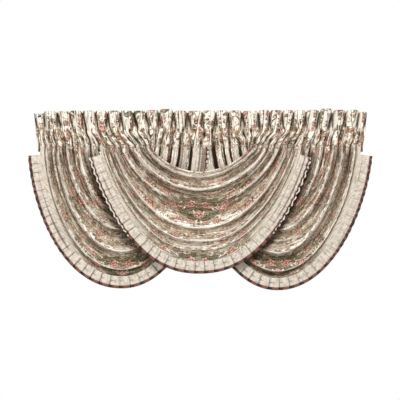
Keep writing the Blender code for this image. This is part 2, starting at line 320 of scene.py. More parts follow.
class Graph:
    """A node tree, with short calls for the nodes that the finishes use."""

    def __init__(self, tree: bpy.types.NodeTree) -> None:
        """Works in the tree it is given."""
        self.tree = tree

    def node(self, kind: str, given: dict | None = None, **settings: object) -> bpy.types.Node:
        """Adds a node.

        Args:
            kind: The node's Blender type, without its ShaderNode prefix.
            given: A value or socket for each input, by its name or number.
            **settings: The node's own settings.

        Returns:
            The new node.
        """
        made = self.tree.nodes.new(f"ShaderNode{kind}")
        for name, setting in settings.items():
            setattr(made, name, setting)
        self.feed(made, given or {})
        return made

    def feed(self, made: bpy.types.Node, given: dict) -> None:
        """Fills a node's inputs.

        Args:
            made: The node.
            given: A value or socket for each input, by its name or number.
        """
        for key, value in given.items():
            if isinstance(value, Socket):
                self.tree.links.new(value, made.inputs[key])
            else:
                made.inputs[key].default_value = value

    def math(self, operation: str, *values: Socket | float) -> Socket:
        """The result of a Math node."""
        return self.node("Math", dict(enumerate(values)), operation=operation).outputs[0]

    def plus(self, value: Socket, other: Socket | float) -> Socket:
        """The sum of two values."""
        return self.math("ADD", value, other)

    def minus(self, value: Socket | float, other: Socket | float) -> Socket:
        """A value less another."""
        return self.math("SUBTRACT", value, other)

    def times(self, value: Socket | float, factor: Socket | float) -> Socket:
        """A value times a factor."""
        return self.math("MULTIPLY", value, factor)

    def most(self, value: Socket | float, other: Socket | float) -> Socket:
        """The greater of two values."""
        return self.math("MAXIMUM", value, other)

    def line(self, value: Socket, slope: Socket | float, start: Socket | float) -> Socket:
        """A straight line: the value times the slope, plus the start."""
        return self.math("MULTIPLY_ADD", value, slope, start)

    def vector(self, operation: str, *values: Socket | tuple) -> Socket:
        """The result of a Vector Math node."""
        return self.node("VectorMath", dict(enumerate(values)), operation=operation).outputs[0]

    def scaled(self, place: Socket, scale: Socket | float) -> Socket:
        """A vector times a number."""
        return self.node("VectorMath", {0: place, "Scale": scale}, operation="SCALE").outputs[0]

    def length(self, place: Socket) -> Socket:
        """A vector's length."""
        return self.node("VectorMath", {0: place}, operation="LENGTH").outputs["Value"]

    def parts(self, place: Socket) -> tuple[Socket, ...]:
        """A vector's three numbers."""
        return tuple(self.node("SeparateXYZ", {0: place}).outputs)

    def shades(self, colour: Socket) -> tuple[Socket, ...]:
        """A colour's three numbers."""
        return tuple(self.node("SeparateColor", {0: colour}).outputs)

    def joined(self, *values: Socket | float) -> Socket:
        """A vector of up to three numbers."""
        return self.node("CombineXYZ", dict(enumerate(values))).outputs[0]

    def step(self, value: Socket, low: float, high: float) -> Socket:
        """A smooth step from 0 at low to 1 at high."""
        given = {"Value": value, "From Min": low, "From Max": high}
        return self.node("MapRange", given, interpolation_type="SMOOTHSTEP").outputs[0]

    def blend(self, share: Socket | float, low: Socket | Colour, high: Socket | Colour) -> Socket:
        """Mixes two colours.

        Args:
            share: How far from the first to the second.
            low: The first.
            high: The second.

        Returns:
            Their mix.
        """
        given = {
            0: share,
            6: low if isinstance(low, Socket) else (*low, 1.0),
            7: high if isinstance(high, Socket) else (*high, 1.0),
        }
        return self.node("Mix", given, data_type="RGBA").outputs[2]

    def speckle(self, place: Socket, scale: float, detail: float = 2.0) -> Socket:
        """Even noise from 0 to 1 over a surface."""
        given = {"Vector": place, "Scale": scale, "Detail": detail}
        return self.node("TexNoise", given).outputs[0]

    def map_of(self, name: str) -> Socket:
        """A piece's UV map."""
        return self.node("UVMap", uv_map=name).outputs[0]

    def attribute(self, name: str) -> Socket:
        """A number that each of a piece's points holds."""
        return self.node("Attribute", attribute_name=name).outputs["Fac"]

    def group(self, name: str, given: dict) -> bpy.types.Node:
        """Places a node group by name."""
        return self.node("Group", given, node_tree=bpy.data.node_groups[name])


def shader_group(
    name: str,
    inputs: dict[str, str],
    outputs: dict[str, str],
    build: Callable[[Graph, Sockets], Sockets],
) -> None:
    """Makes a shader node group.

    Args:
        name: The group's name.
        inputs: Each input's name and kind, such as Float.
        outputs: The same for each output.
        build: Fills the group, and gives the socket for each output.
    """
    tree = bpy.data.node_groups.new(name, "ShaderNodeTree")
    for way, sockets in (("INPUT", inputs), ("OUTPUT", outputs)):
        for title, kind in sockets.items():
            tree.interface.new_socket(title, in_out=way, socket_type=f"NodeSocket{kind}")
    entry = tree.nodes.new("NodeGroupInput")
    leave = tree.nodes.new("NodeGroupOutput")
    found = build(Graph(tree), {title: entry.outputs[title] for title in inputs})
    for title, socket in found.items():
        tree.links.new(socket, leave.inputs[title])


@dataclass(frozen=True)
class PrintColours:
    """The printed colours of the flowered cloth."""

    olive: Colour = (0.150, 0.128, 0.040)
    dark_leaf: Colour = (0.042, 0.031, 0.012)
    rust: Colour = (0.300, 0.085, 0.055)
    tan: Colour = (0.420, 0.280, 0.165)
    pale: Colour = (0.800, 0.740, 0.620)
    dark_red: Colour = (0.140, 0.034, 0.024)
    coral: Colour = (0.430, 0.135, 0.078)
    pink: Colour = (0.820, 0.590, 0.480)


PRINT = PrintColours()


class Motif(NamedTuple):
    """One motif of the printed repeat: its place on the flat cloth, its size and its turn, which
    is in radians."""

    across: float
    down: float
    size: float
    turn: float


def motifs(*rows: tuple[float, float, float, float]) -> tuple[Motif, ...]:
    """Motifs, each from its place across and down, its size and its turn."""
    return tuple(Motif(*row) for row in rows)


# The print's repeat, mirrored on both of its sides, and the waver of its outlines.
REPEAT_WIDTH = 0.30
REPEAT_HEIGHT = 0.48
WAVER = 0.016
WAVERS_A_METRE = 38.0

# Roses and then buds, leaves and curling stems, each at its place in the repeat.
BLOOMS = motifs(
    (0.000, 0.203, 0.034, 0.2), (0.034, 0.140, 0.032, 1.1), (0.122, 0.172, 0.036, 0.5),
    (0.166, 0.104, 0.038, 2.0), (0.086, 0.262, 0.024, 0.4), (0.262, 0.140, 0.040, 0.4),
    (0.222, 0.022, 0.038, 0.9), (0.256, 0.290, 0.044, 1.6), (0.030, 0.266, 0.018, 0.0),
    (0.112, 0.404, 0.030, 0.7), (0.050, 0.036, 0.020, 2.4), (0.190, 0.230, 0.020, 1.4),
)
LEAVES = motifs(
    (0.052, 0.186, 0.042, 0.6), (0.040, 0.232, 0.044, -0.4), (0.080, 0.206, 0.040, -0.9),
    (0.070, 0.112, 0.038, 0.3), (0.020, 0.096, 0.036, -0.2), (0.116, 0.120, 0.036, -0.5),
    (0.166, 0.150, 0.034, 0.7), (0.008, 0.166, 0.030, 1.2), (0.288, 0.180, 0.030, 1.1),
    (0.250, 0.070, 0.032, 0.5), (0.190, 0.060, 0.028, -0.6), (0.244, 0.340, 0.034, 0.9),
    (0.280, 0.372, 0.030, -0.4), (0.014, 0.352, 0.022, 1.5), (0.216, 0.196, 0.030, -0.2),
)
SCROLLS = motifs(
    (0.056, 0.396, 0.040, 0.4), (0.176, 0.290, 0.036, 2.4), (0.232, 0.262, 0.034, 4.2),
    (0.110, 0.024, 0.034, 5.2), (0.170, 0.420, 0.036, 1.4),
)


class Thicket(NamedTuple):
    """An oval of the repeat where the print grows thickly."""

    across: float
    down: float
    half_width: float
    half_height: float


THICKETS = (
    Thicket(0.0, 0.157, half_width=0.185, half_height=0.108),
    Thicket(0.0, 0.214, half_width=0.095, half_height=0.056),
    Thicket(0.262, 0.285, half_width=0.060, half_height=0.050),
    Thicket(0.240, 0.120, half_width=0.055, half_height=0.045),
)


class Scatter(NamedTuple):
    """A layer of small motifs strewn at random: how many a metre, how much of the open ground and
    of a thicket has them, and their two colours."""

    motif: str
    scale: float
    open_share: float
    thick_share: float
    colours: tuple[Colour, Colour]


SCATTERS = (
    Scatter("strewn_leaf", 30.0, 0.55, 0.60, (PRINT.tan, PRINT.olive)),
    Scatter("strewn_leaf", 50.0, 0.95, 0.95, (PRINT.olive, PRINT.dark_leaf)),
    Scatter("strewn_leaf", 30.0, 0.95, 0.92, (PRINT.dark_leaf, PRINT.olive)),
    Scatter("strewn_bloom", 28.0, 0.42, 0.32, (PRINT.coral, PRINT.rust)),
    Scatter("strewn_leaf", 56.0, 0.36, 0.30, (PRINT.pale, PRINT.tan)),
    Scatter("strewn_leaf", 64.0, 0.62, 0.36, (PRINT.dark_leaf, PRINT.dark_red)),
    Scatter("strewn_leaf", 104.0, 0.70, 0.40, (PRINT.dark_leaf, PRINT.rust)),
)
SCATTER_SHIFT = (0.37, 0.61, 0.0)  # from each layer to the next, so that no two lie alike


def local_place(graph: Graph, given: Sockets) -> tuple[Socket, Socket, Socket]:
    """A place measured from a motif's centre, in its own size.

    Args:
        graph: The motif's graph.
        given: The group's inputs.

    Returns:
        The distance across, the distance down and the distance out.
    """
    offset = graph.vector("SUBTRACT", given["Cloth"], given["Centre"])
    offset = graph.scaled(offset, graph.math("DIVIDE", 1.0, given["Size"]))
    across, down, _ = graph.parts(offset)
    return across, down, graph.length(offset)


def build_bloom(graph: Graph, given: Sockets) -> Sockets:
    """A ruffled round flower.

    Args:
        graph: The group's graph.
        given: Its inputs.

    Returns:
        Its mask, and the light and dark of its petals.
    """
    across, down, radius = local_place(graph, given)
    angle = graph.plus(graph.math("ARCTAN2", down, across), given["Turn"])
    lobes = graph.math("COSINE", graph.times(angle, 5.0))
    rim = graph.line(lobes, 0.15, 0.84)
    mask = graph.step(graph.minus(rim, radius), 0.0, 0.12)
    swirl = graph.plus(graph.line(lobes, 1.3, graph.times(radius, 12.0)), angle)
    petals = graph.line(graph.math("SINE", swirl), 0.5, 0.5)
    inner = graph.step(graph.minus(rim, radius), 0.06, 0.2)
    return {"Mask": mask, "Light": graph.times(petals, inner)}


def build_leaf(graph: Graph, given: Sockets) -> Sockets:
    """A pointed leaf.

    Args:
        graph: The group's graph.
        given: Its inputs.

    Returns:
        Its mask, and the light rib down its middle.
    """
    across, down, _ = local_place(graph, given)
    cosine = graph.math("COSINE", given["Turn"])
    sine = graph.math("SINE", given["Turn"])
    along = graph.line(across, cosine, graph.times(down, sine))
    beside = graph.minus(graph.times(down, cosine), graph.times(across, sine))
    beside = graph.math("ABSOLUTE", beside)
    half = graph.line(graph.times(along, along), -0.42, 0.42)
    mask = graph.step(graph.minus(half, beside), 0.0, 0.10)
    return {"Mask": mask, "Light": graph.times(mask, graph.step(beside, 0.16, 0.02))}


def build_scroll(graph: Graph, given: Sockets) -> Sockets:
    """A curling stem, as part of a spiral's line.

    Args:
        graph: The group's graph.
        given: Its inputs.

    Returns:
        Its mask, and its middle.
    """
    across, down, radius = local_place(graph, given)
    angle = graph.plus(graph.math("ARCTAN2", down, across), given["Turn"])
    turns = graph.math("FRACT", graph.math("DIVIDE", angle, 2 * math.pi))
    off = graph.math("ABSOLUTE", graph.minus(radius, graph.line(turns, 0.75, 0.22)))
    return {"Mask": graph.step(off, 0.15, 0.05), "Light": graph.step(off, 0.05, 0.0)}


def strewn(motif: str, size: float) -> Callable[[Graph, Sockets], Sockets]:
    """Makes the builder of a group that strews a motif at random over the cloth.

    Args:
        motif: The motif's group.
        size: Its size, as a share of the space that each has.

    Returns:
        The builder.
    """

    def build(graph: Graph, given: Sockets) -> Sockets:
        """One motif in each cell whose number is under the share, turned its own way.

        Args:
            graph: The group's graph.
            given: Its inputs.

        Returns:
            The motifs' mask, and a number for each that picks its shade.
        """
        place = graph.vector("ADD", given["Cloth"], given["Shift"])
        cells = graph.node(
            "TexVoronoi",
            {"Vector": place, "Scale": given["Scale"], "Randomness": 0.9},
            voronoi_dimensions="2D",
        )
        turn, pick, shade = graph.shades(cells.outputs["Color"])
        placed = {
            "Cloth": place,
            "Centre": cells.outputs["Position"],
            "Size": graph.math("DIVIDE", size, given["Scale"]),
            "Turn": graph.times(turn, 6.3),
        }
        mask = graph.group(motif, placed).outputs["Mask"]
        kept = graph.math("LESS_THAN", pick, given["Share"])
        return {"Mask": graph.times(mask, kept), "Shade": shade}

    return build


def thickly_grown(graph: Graph, across: Socket, down: Socket) -> Socket:
    """How thickly the print grows.

    Args:
        graph: The print's graph.
        across: The distance across from the cloth's middle line.
        down: The distance down in the repeat.

    Returns:
        1 in a thicket, and 0 outside them all.
    """
    thick: Socket | float = 0.0
    for oval in THICKETS:
        offset = graph.joined(across, down)
        offset = graph.vector("SUBTRACT", offset, (oval.across, oval.down, 0.0))
        reach = (1 / oval.half_width, 1 / oval.half_height, 0.0)
        offset = graph.vector("MULTIPLY", offset, reach)
        thick = graph.most(thick, graph.step(graph.length(offset), 1.1, 0.6))
    return thick


def strewn_layers(graph: Graph, place: Socket, thick: Socket) -> tuple[Socket, Socket]:
    """Strews the layers of small motifs over each other.

    Args:
        graph: The print's graph.
        place: The place in the repeat.
        thick: How thickly the print grows.

    Returns:
        Their colour, and how far they cover the ground.
    """
    sprays = graph.step(graph.speckle(place, 22.0), 0.47, 0.55)
    open_ground = graph.line(sprays, 0.95, 0.05)
    colour: Socket | Colour = PRINT.tan
    cover: Socket | float = 0.0
    for number, layer in enumerate(SCATTERS):
        low = graph.times(open_ground, layer.open_share)
        share = graph.line(thick, graph.minus(layer.thick_share, low), low)
        shift = tuple(number * part for part in SCATTER_SHIFT)
        inputs = {"Cloth": place, "Scale": layer.scale, "Share": share, "Shift": shift}
        placed = graph.group(layer.motif, inputs)
        shade = graph.blend(graph.step(placed.outputs["Shade"], 0.35, 0.65), *layer.colours)
        colour = graph.blend(placed.outputs["Mask"], colour, shade)
        cover = graph.most(cover, placed.outputs["Mask"])
    return colour, cover


def build_print(graph: Graph, given: Sockets) -> Sockets:
    """The flowered print.

    Args:
        graph: The group's graph.
        given: Its inputs.

    Returns:
        Its colour, how far it covers the ground, and how thickly it grows.
    """
    across, down, _ = graph.parts(given["Cloth"])
    far = graph.math("ABSOLUTE", across)
    across = graph.math("PINGPONG", far, REPEAT_WIDTH)
    rows = graph.math("DIVIDE", down, REPEAT_HEIGHT)
    down = graph.times(graph.math("FRACT", rows), REPEAT_HEIGHT)
    place = graph.joined(across, down, 0.0)
    waver = {"Vector": place, "Scale": WAVERS_A_METRE, "Detail": 1.0}
    moved = graph.joined(*graph.shades(graph.node("TexNoise", waver).outputs["Color"]))
    moved = graph.vector("SUBTRACT", moved, (0.5, 0.5, 0.5))
    place = graph.vector("ADD", place, graph.scaled(moved, WAVER))

    thick = thickly_grown(graph, far, down)
    colour, cover = strewn_layers(graph, place, thick)
    curl, _ = placed_motifs(graph, "scroll", place, SCROLLS)
    colour = graph.blend(curl, colour, PRINT.tan)
    leaf, rib = placed_motifs(graph, "leaf", place, LEAVES)
    colour = graph.blend(leaf, colour, graph.blend(rib, PRINT.dark_leaf, PRINT.olive))
    bloom, petals = placed_motifs(graph, "bloom", place, BLOOMS)
    red = graph.blend(graph.step(petals, 0.0, 0.45), PRINT.dark_red, PRINT.coral)
    red = graph.blend(graph.step(petals, 0.80, 1.0), red, PRINT.pink)
    colour = graph.blend(bloom, colour, red)
    for mask in (curl, leaf, bloom):
        cover = graph.most(cover, mask)
    stipple = graph.step(graph.speckle(place, 170.0, 1.0), 0.30, 0.50)
    cover = graph.times(cover, graph.line(stipple, 0.22, 0.78))
    return {"Colour": colour, "Cover": cover, "Thick": thick}


def placed_motifs(
    graph: Graph, name: str, place: Socket, motifs: tuple[Motif, ...]
) -> tuple[Socket, Socket]:
    """Places every motif of one kind on the cloth.

    Args:
        graph: The print's graph.
        name: The motif's group.
        place: The place in the repeat.
        motifs: Where each of them is.

    Returns:
        The mask of them all, and their light parts.
    """
    mask: Socket | float = 0.0
    light: Socket | float = 0.0
    for motif in motifs:
        centre = (motif.across, motif.down, 0.0)
        given = {"Cloth": place, "Centre": centre, "Size": motif.size, "Turn": motif.turn}
        made = graph.group(name, given)
        mask = graph.most(mask, made.outputs["Mask"])
        light = graph.most(light, made.outputs["Light"])
    return mask, light


def build_weave(graph: Graph, given: Sockets) -> Sockets:
    """Crossing threads and the fine crinkle of used cloth.

    Args:
        graph: The group's graph.
        given: Its inputs.

    Returns:
        The cloth's height, from 0 to 1.
    """
    across, down, _ = graph.parts(given["Cloth"])
    warp = graph.math("SINE", graph.times(across, given["Threads"]))
    weft = graph.math("SINE", graph.times(down, given["Threads"]))
    threads = graph.times(warp, weft)
    crinkle = graph.speckle(graph.vector("MULTIPLY", given["Cloth"], (1.0, 2.6, 1.0)), 45.0, 4.0)
    return {"Height": graph.line(threads, 0.12, crinkle)}


def new_material(name: str, roughness: float) -> tuple[Graph, bpy.types.Node]:
    """Makes a new material.

    Args:
        name: The material's name.
        roughness: The shader's own roughness.

    Returns:
        The graph of its nodes, and its Principled BSDF.
    """
    made = bpy.data.materials.new(name)
    made.use_nodes = True
    shader = made.node_tree.nodes["Principled BSDF"]
    shader.inputs["Roughness"].default_value = roughness
    return Graph(made.node_tree), shader


@dataclass(frozen=True)
class ClothFinish:
    """What the valance's three cloths share: their threads, and how far those stand out."""

    name: str = "cloth"
    roughness: float = 0.6
    threads: float = 3600.0
    weave_strength: float = 0.3
    weave_depth: float = 0.0012

    def colour(self, graph: Graph, cloth: Socket, tone: Socket) -> Socket:
        """The cloth's colour.

        Args:
            graph: The material's graph.
            cloth: The place on the flat cloth.
            tone: The tone, as a sheet's points hold it: painted light and shade, and on the edging
                which of its two colours.

        Returns:
            The colour.
        """
        raise NotImplementedError

    def dress(self, graph: Graph, shader: bpy.types.Node, height: Socket) -> None:
        """Sets what the cloth has besides its colour and its weave.

        Args:
            graph: The material's graph.
            shader: Its shader.
            height: The height of the weave.
        """

    def material(self) -> bpy.types.Material:
        """Builds the material.

        Returns:
            The material.
        """
        graph, shader = new_material(self.name, self.roughness)
        cloth = graph.map_of("cloth")
        colour = self.colour(graph, cloth, graph.attribute("tone"))
        graph.tree.links.new(colour, shader.inputs["Base Color"])
        weave = graph.group("weave", {"Cloth": cloth, "Threads": self.threads})
        height = weave.outputs["Height"]
        given = {"Height": height, "Strength": self.weave_strength, "Distance": self.weave_depth}
        graph.tree.links.new(graph.node("Bump", given).outputs[0], shader.inputs["Normal"])
        self.dress(graph, shader, height)
        return bpy.data.materials[self.name]


@dataclass(frozen=True)
class JacquardFinish(ClothFinish):
    """Silvery jacquard with a soft satin face and a flowered print."""

    name: str = "flowered_jacquard"
    roughness: float = 0.42
    weave_strength: float = 0.35
    weave_depth: float = 0.0016
    creases: tuple[float, float] = (3.4, 56.0)  # how close they lie along and across the folds
    crease_lines: tuple[float, float] = (0.80, 0.78)  # how strong their painted shadow and painted highlight lines are
    crease_drop: float = 0.0026  # how far below its painted highlight a crease's painted shadow lies
    # Painted light and shade: ridge is the painted highlight on the folds' tops, hollow the
    # painted shade in their troughs, deep the painted shadow in the deepest creases and in the
    # crease lines, and ground the cloth between. Ridge and hollow also colour the light and dark
    # threads.
    ridge: Colour = (0.91, 0.845, 0.735)
    ground: Colour = (0.420, 0.328, 0.222)
    hollow: Colour = (0.098, 0.056, 0.025)
    deep: Colour = (0.019, 0.011, 0.006)
    plain: Colour = (0.68, 0.62, 0.53)
    uneven: float = 1.1  # how blotchy the tone is
    blotches: float = 42.0  # a metre, as the woven figures and the marks of the threads are
    figures: float = 60.0
    marks: float = 150.0
    dark_threads: float = 0.62
    light_threads: float = 0.46
    ink: float = 0.95  # how well the print covers the ground

    def colour(self, graph: Graph, cloth: Socket, tone: Socket) -> Socket:
        """The colour of the flowered cloth.

        Args:
            graph: The material's graph.
            cloth: The place on the flat cloth.
            tone: The tone.

        Returns:
            Its ground with the print and the creases on it, or ivory where it is plain.
        """
        plain = graph.attribute("plain")
        uneven = graph.minus(graph.speckle(cloth, self.blotches, 4.0), 0.5)
        tone = graph.line(uneven, self.uneven, tone)
        # raised is 1 where the painted light is bright, and 0 in the painted shade of a hollow.
        raised = graph.step(tone, 0.30, 0.75)
        colour = self.woven(graph, cloth, tone, raised)

        printed = graph.group("flowered_print", {"Cloth": cloth})
        thick = printed.outputs["Thick"]
        shaded = graph.line(graph.step(tone, 0.0, 0.6), 0.45, 0.55)
        ink = graph.blend(shaded, (0.0, 0.0, 0.0), printed.outputs["Colour"])
        # On a painted crest highlight the print is washed out, as if by glare.
        glare_and_joint_shade = graph.line(graph.step(tone, 0.95, 1.45), -0.60, self.ink)
        # The print shows less in the painted shade of the hollows, except in a thicket.
        shown = graph.line(raised, 0.35, 0.65)
        shown = graph.most(shown, thick)
        cover = graph.times(printed.outputs["Cover"], glare_and_joint_shade)
        colour = graph.blend(graph.times(cover, shown), colour, ink)

        # The painted crease lines show most on the painted light, and less in a thicket.
        smoothed = graph.line(thick, -0.7, 1.0)
        amount = graph.times(graph.line(raised, 0.70, 0.30), smoothed)
        colour = self.crease_light_and_shade(graph, amount, colour)
        streaks = graph.speckle(graph.vector("MULTIPLY", cloth, (0.12, 1.0, 1.0)), self.marks)
        ivory = graph.blend(graph.step(streaks, 0.55, 0.35), self.plain, self.ground)
        colour = graph.blend(plain, colour, ivory)
        # Painted shadow, near black, where the tone is lowest.
        return graph.blend(graph.step(tone, -0.8, 0.05), self.deep, colour)

    def woven(self, graph: Graph, cloth: Socket, tone: Socket, raised: Socket) -> Socket:
        """The ground of the cloth.

        Args:
            graph: The material's graph.
            cloth: The place on the flat cloth.
            tone: The tone.
            raised: 1 where the painted light is bright on a raised part, and 0 in the painted
                shade of a hollow.

        Returns:
            The colour of the ground, with painted shade in the hollows and a painted highlight on
            the ridges, its woven figures, which show more on the painted light, and its dark and
            light threads.
        """
        # Painted shade in the hollows, and a painted highlight on the ridges.
        colour = graph.blend(graph.step(tone, 0.0, 0.35), self.hollow, self.ground)
        colour = graph.blend(graph.step(tone, 0.45, 0.92), colour, self.ridge)
        # The woven figures show more where the painted light is bright.
        figure = graph.step(graph.speckle(cloth, self.figures), 0.47, 0.56)
        figure = graph.times(figure, graph.line(raised, 0.24, 0.08))
        colour = graph.blend(figure, colour, self.ridge)
        thread = graph.speckle(cloth, self.marks, 1.0)
        # Fewer dark threads show on a painted crest highlight.
        crest_highlight = graph.step(tone, 0.95, 1.45)
        dark = graph.line(crest_highlight, -0.40, self.dark_threads)
        dark = graph.times(graph.step(thread, 0.57, 0.68), dark)
        colour = graph.blend(dark, colour, self.hollow)
        light = graph.times(graph.step(thread, 0.43, 0.32), self.light_threads)
        return graph.blend(light, colour, self.ridge)

    def crease_light_and_shade(self, graph: Graph, amount: Socket, colour: Socket) -> Socket:
        """Paints the fine creases that run along the folds, as light and shade.

        Args:
            graph: The material's graph.
            amount: How strongly they show.
            colour: The colour without them.

        Returns:
            The colour with a painted highlight along each crease and a painted shadow below it.
        """
        fold = graph.map_of("fold")
        dark, light = self.crease_lines
        lines = ((self.crease_drop, self.deep, dark), (0.0, self.ridge, light))
        for shift, shade, strength in lines:
            place = graph.vector("ADD", fold, (0.0, shift, 0.0))
            place = graph.vector("MULTIPLY", place, (*self.creases, 1.0))
            wave = graph.speckle(place, 1.0, 1.0)
            off = graph.math("ABSOLUTE", graph.minus(wave, 0.5))
            line = graph.times(graph.step(off, 0.038, 0.006), strength)
            colour = graph.blend(graph.times(line, amount), colour, shade)
        return colour

    def dress(self, graph: Graph, shader: bpy.types.Node, height: Socket) -> None:
        """Makes the raised threads rougher, and the cloth hardly shiny.

        Args:
            graph: The material's graph.
            shader: Its shader.
            height: The height of the weave.
        """
        rough = graph.line(height, 0.25, 0.28)
        graph.tree.links.new(rough, shader.inputs["Roughness"])
        shader.inputs["Specular IOR Level"].default_value = 0.08


@dataclass(frozen=True)
class PleatFinish(ClothFinish):
    """Plain ivory cloth, pressed into pleats."""

    name: str = "ivory_pleats"
    roughness: float = 0.62
    threads: float = 4200.0
    weave_strength: float = 0.25
    face: Colour = (0.705, 0.625, 0.53)
    # crease is the colour of the painted shade in the pleats' creases; the patches and the streaks
    # darken towards it too.
    crease: Colour = (0.20, 0.145, 0.10)
    patches: float = 0.36  # how strongly it is patched with shade
    streaks: float = 0.42  # and streaked with it

    def colour(self, graph: Graph, cloth: Socket, tone: Socket) -> Socket:
        """The colour of the pleated cloth.

        Args:
            graph: The material's graph.
            cloth: The place on the flat cloth.
            tone: The tone.

        Returns:
            Ivory, with painted shade in its creases, and darker in its patches and its streaks.
        """
        colour = graph.blend(graph.step(tone, 0.0, 0.7), self.crease, self.face)
        patch = graph.step(graph.speckle(cloth, 60.0), 0.38, 0.66)
        colour = graph.blend(graph.times(patch, self.patches), colour, self.crease)
        along = graph.vector("MULTIPLY", cloth, (1.0, 0.16, 1.0))
        streak = graph.step(graph.speckle(along, 170.0), 0.52, 0.66)
        return graph.blend(graph.times(streak, self.streaks), colour, self.crease)

    def dress(self, graph: Graph, shader: bpy.types.Node, height: Socket) -> None:
        """Gives the cloth a faint sheen."""
        shader.inputs["Sheen Weight"].default_value = 0.10


@dataclass(frozen=True)
class EdgingFinish(ClothFinish):
    """Matt edging that changes from dark brown to rust red."""

    name: str = "two_tone_edging"
    roughness: float = 0.72
    threads: float = 2600.0
    weave_strength: float = 0.5
    brown: Colour = (0.034, 0.013, 0.008)
    underside: Colour = (0.74, 0.69, 0.60)
    rust: Colour = (0.200, 0.068, 0.037)
    patches: float = 0.35

    def colour(self, graph: Graph, cloth: Socket, tone: Socket) -> Socket:
        """The colour of the edging.

        Args:
            graph: The material's graph.
            cloth: The place on the flat cloth.
            tone: The tone.

        Returns:
            Brown, rust where the tone is light, and ivory where it is over 1.
        """
        colour = graph.blend(graph.step(tone, 0.35, 0.60), self.brown, self.rust)
        colour = graph.blend(graph.step(tone, 1.2, 1.6), colour, self.underside)
        patch = graph.step(graph.speckle(cloth, 180.0), 0.45, 0.7)
        return graph.blend(graph.times(patch, self.patches), colour, self.brown)


def build_groups() -> None:
    """Makes the node groups that the finishes share."""
    inputs = {"Cloth": "Vector", "Centre": "Vector", "Size": "Float", "Turn": "Float"}
    outputs = {"Mask": "Float", "Light": "Float"}
    for name, build in (("bloom", build_bloom), ("leaf", build_leaf), ("scroll", build_scroll)):
        shader_group(name, inputs, outputs, build)
    inputs = {"Cloth": "Vector", "Scale": "Float", "Share": "Float", "Shift": "Vector"}
    outputs = {"Mask": "Float", "Shade": "Float"}
    shader_group("strewn_leaf", inputs, outputs, strewn("leaf", 0.62))
    shader_group("strewn_bloom", inputs, outputs, strewn("bloom", 0.46))
    outputs = {"Colour": "Color", "Cover": "Float", "Thick": "Float"}
    shader_group("flowered_print", {"Cloth": "Vector"}, outputs, build_print)
    inputs = {"Cloth": "Vector", "Threads": "Float"}
    shader_group("weave", inputs, {"Height": "Float"}, build_weave)


# Pieces

# How far inward the pocket's gathers lean for each metre down, by their place out from the middle.
LEANS = (
    (0.00, 0.0), (0.05, -0.14), (0.18, -0.20), (0.235, 0.0), (0.28, 0.38),
    (0.37, 0.58), (0.46, 0.42), (0.56, 0.22), (0.70, 0.08), (0.81, 0.0),
)

# The gap over the centre swag, where the seam shows: its half width, and the width of its edge.
GAP_HALF = 0.235
GAP_EDGE = 0.02


def lean(across: float) -> float:
    """The lean of the pocket's gathers, which follows the folds below them.

    Args:
        across: The place across.

    Returns:
        How far they lean to the right for each metre down.
    """
    out = abs(across)
    for (near, low), (far, high) in pairwise(LEANS):
        if out <= far:
            inward = mix(low, high, step_up(out, near, far - near))
            return inward if across < 0 else -inward
    return 0.0


def in_gap(across: float) -> float:
    """1 at a place along the seam that is in the gap over the centre swag, and 0 further out."""
    return step_down(abs(across), GAP_HALF, GAP_EDGE)


class SeamLine:
    """The gathers of the heading where they meet the swags, read by their place along the seam."""

    def __init__(self, spots: list[tuple[float, float, float]]) -> None:
        """Keeps the line's spots.

        Args:
            spots: Each one's place across, how far it stands forward, from 0 to 1, and its tone of
                painted light and shade.
        """
        self.spots = sorted(spots)
        self.places = [spot[0] for spot in self.spots]

    def at(self, across: float) -> tuple[float, float]:
        """Reads the line.

        Args:
            across: The place across.

        Returns:
            How far the gathers stand forward there, and their tone of painted light and shade.
        """
        index = min(max(bisect(self.places, across), 1), len(self.spots) - 1)
        before, after = self.spots[index - 1], self.spots[index]
        share = (across - before[0]) / max(after[0] - before[0], 1e-6)
        share = min(1.0, max(0.0, share))
        return mix(before[1], after[1], share), mix(before[2], after[2], share)


BELL_HALF = 0.886  # the area of half a bell curve, exp(-x * x)


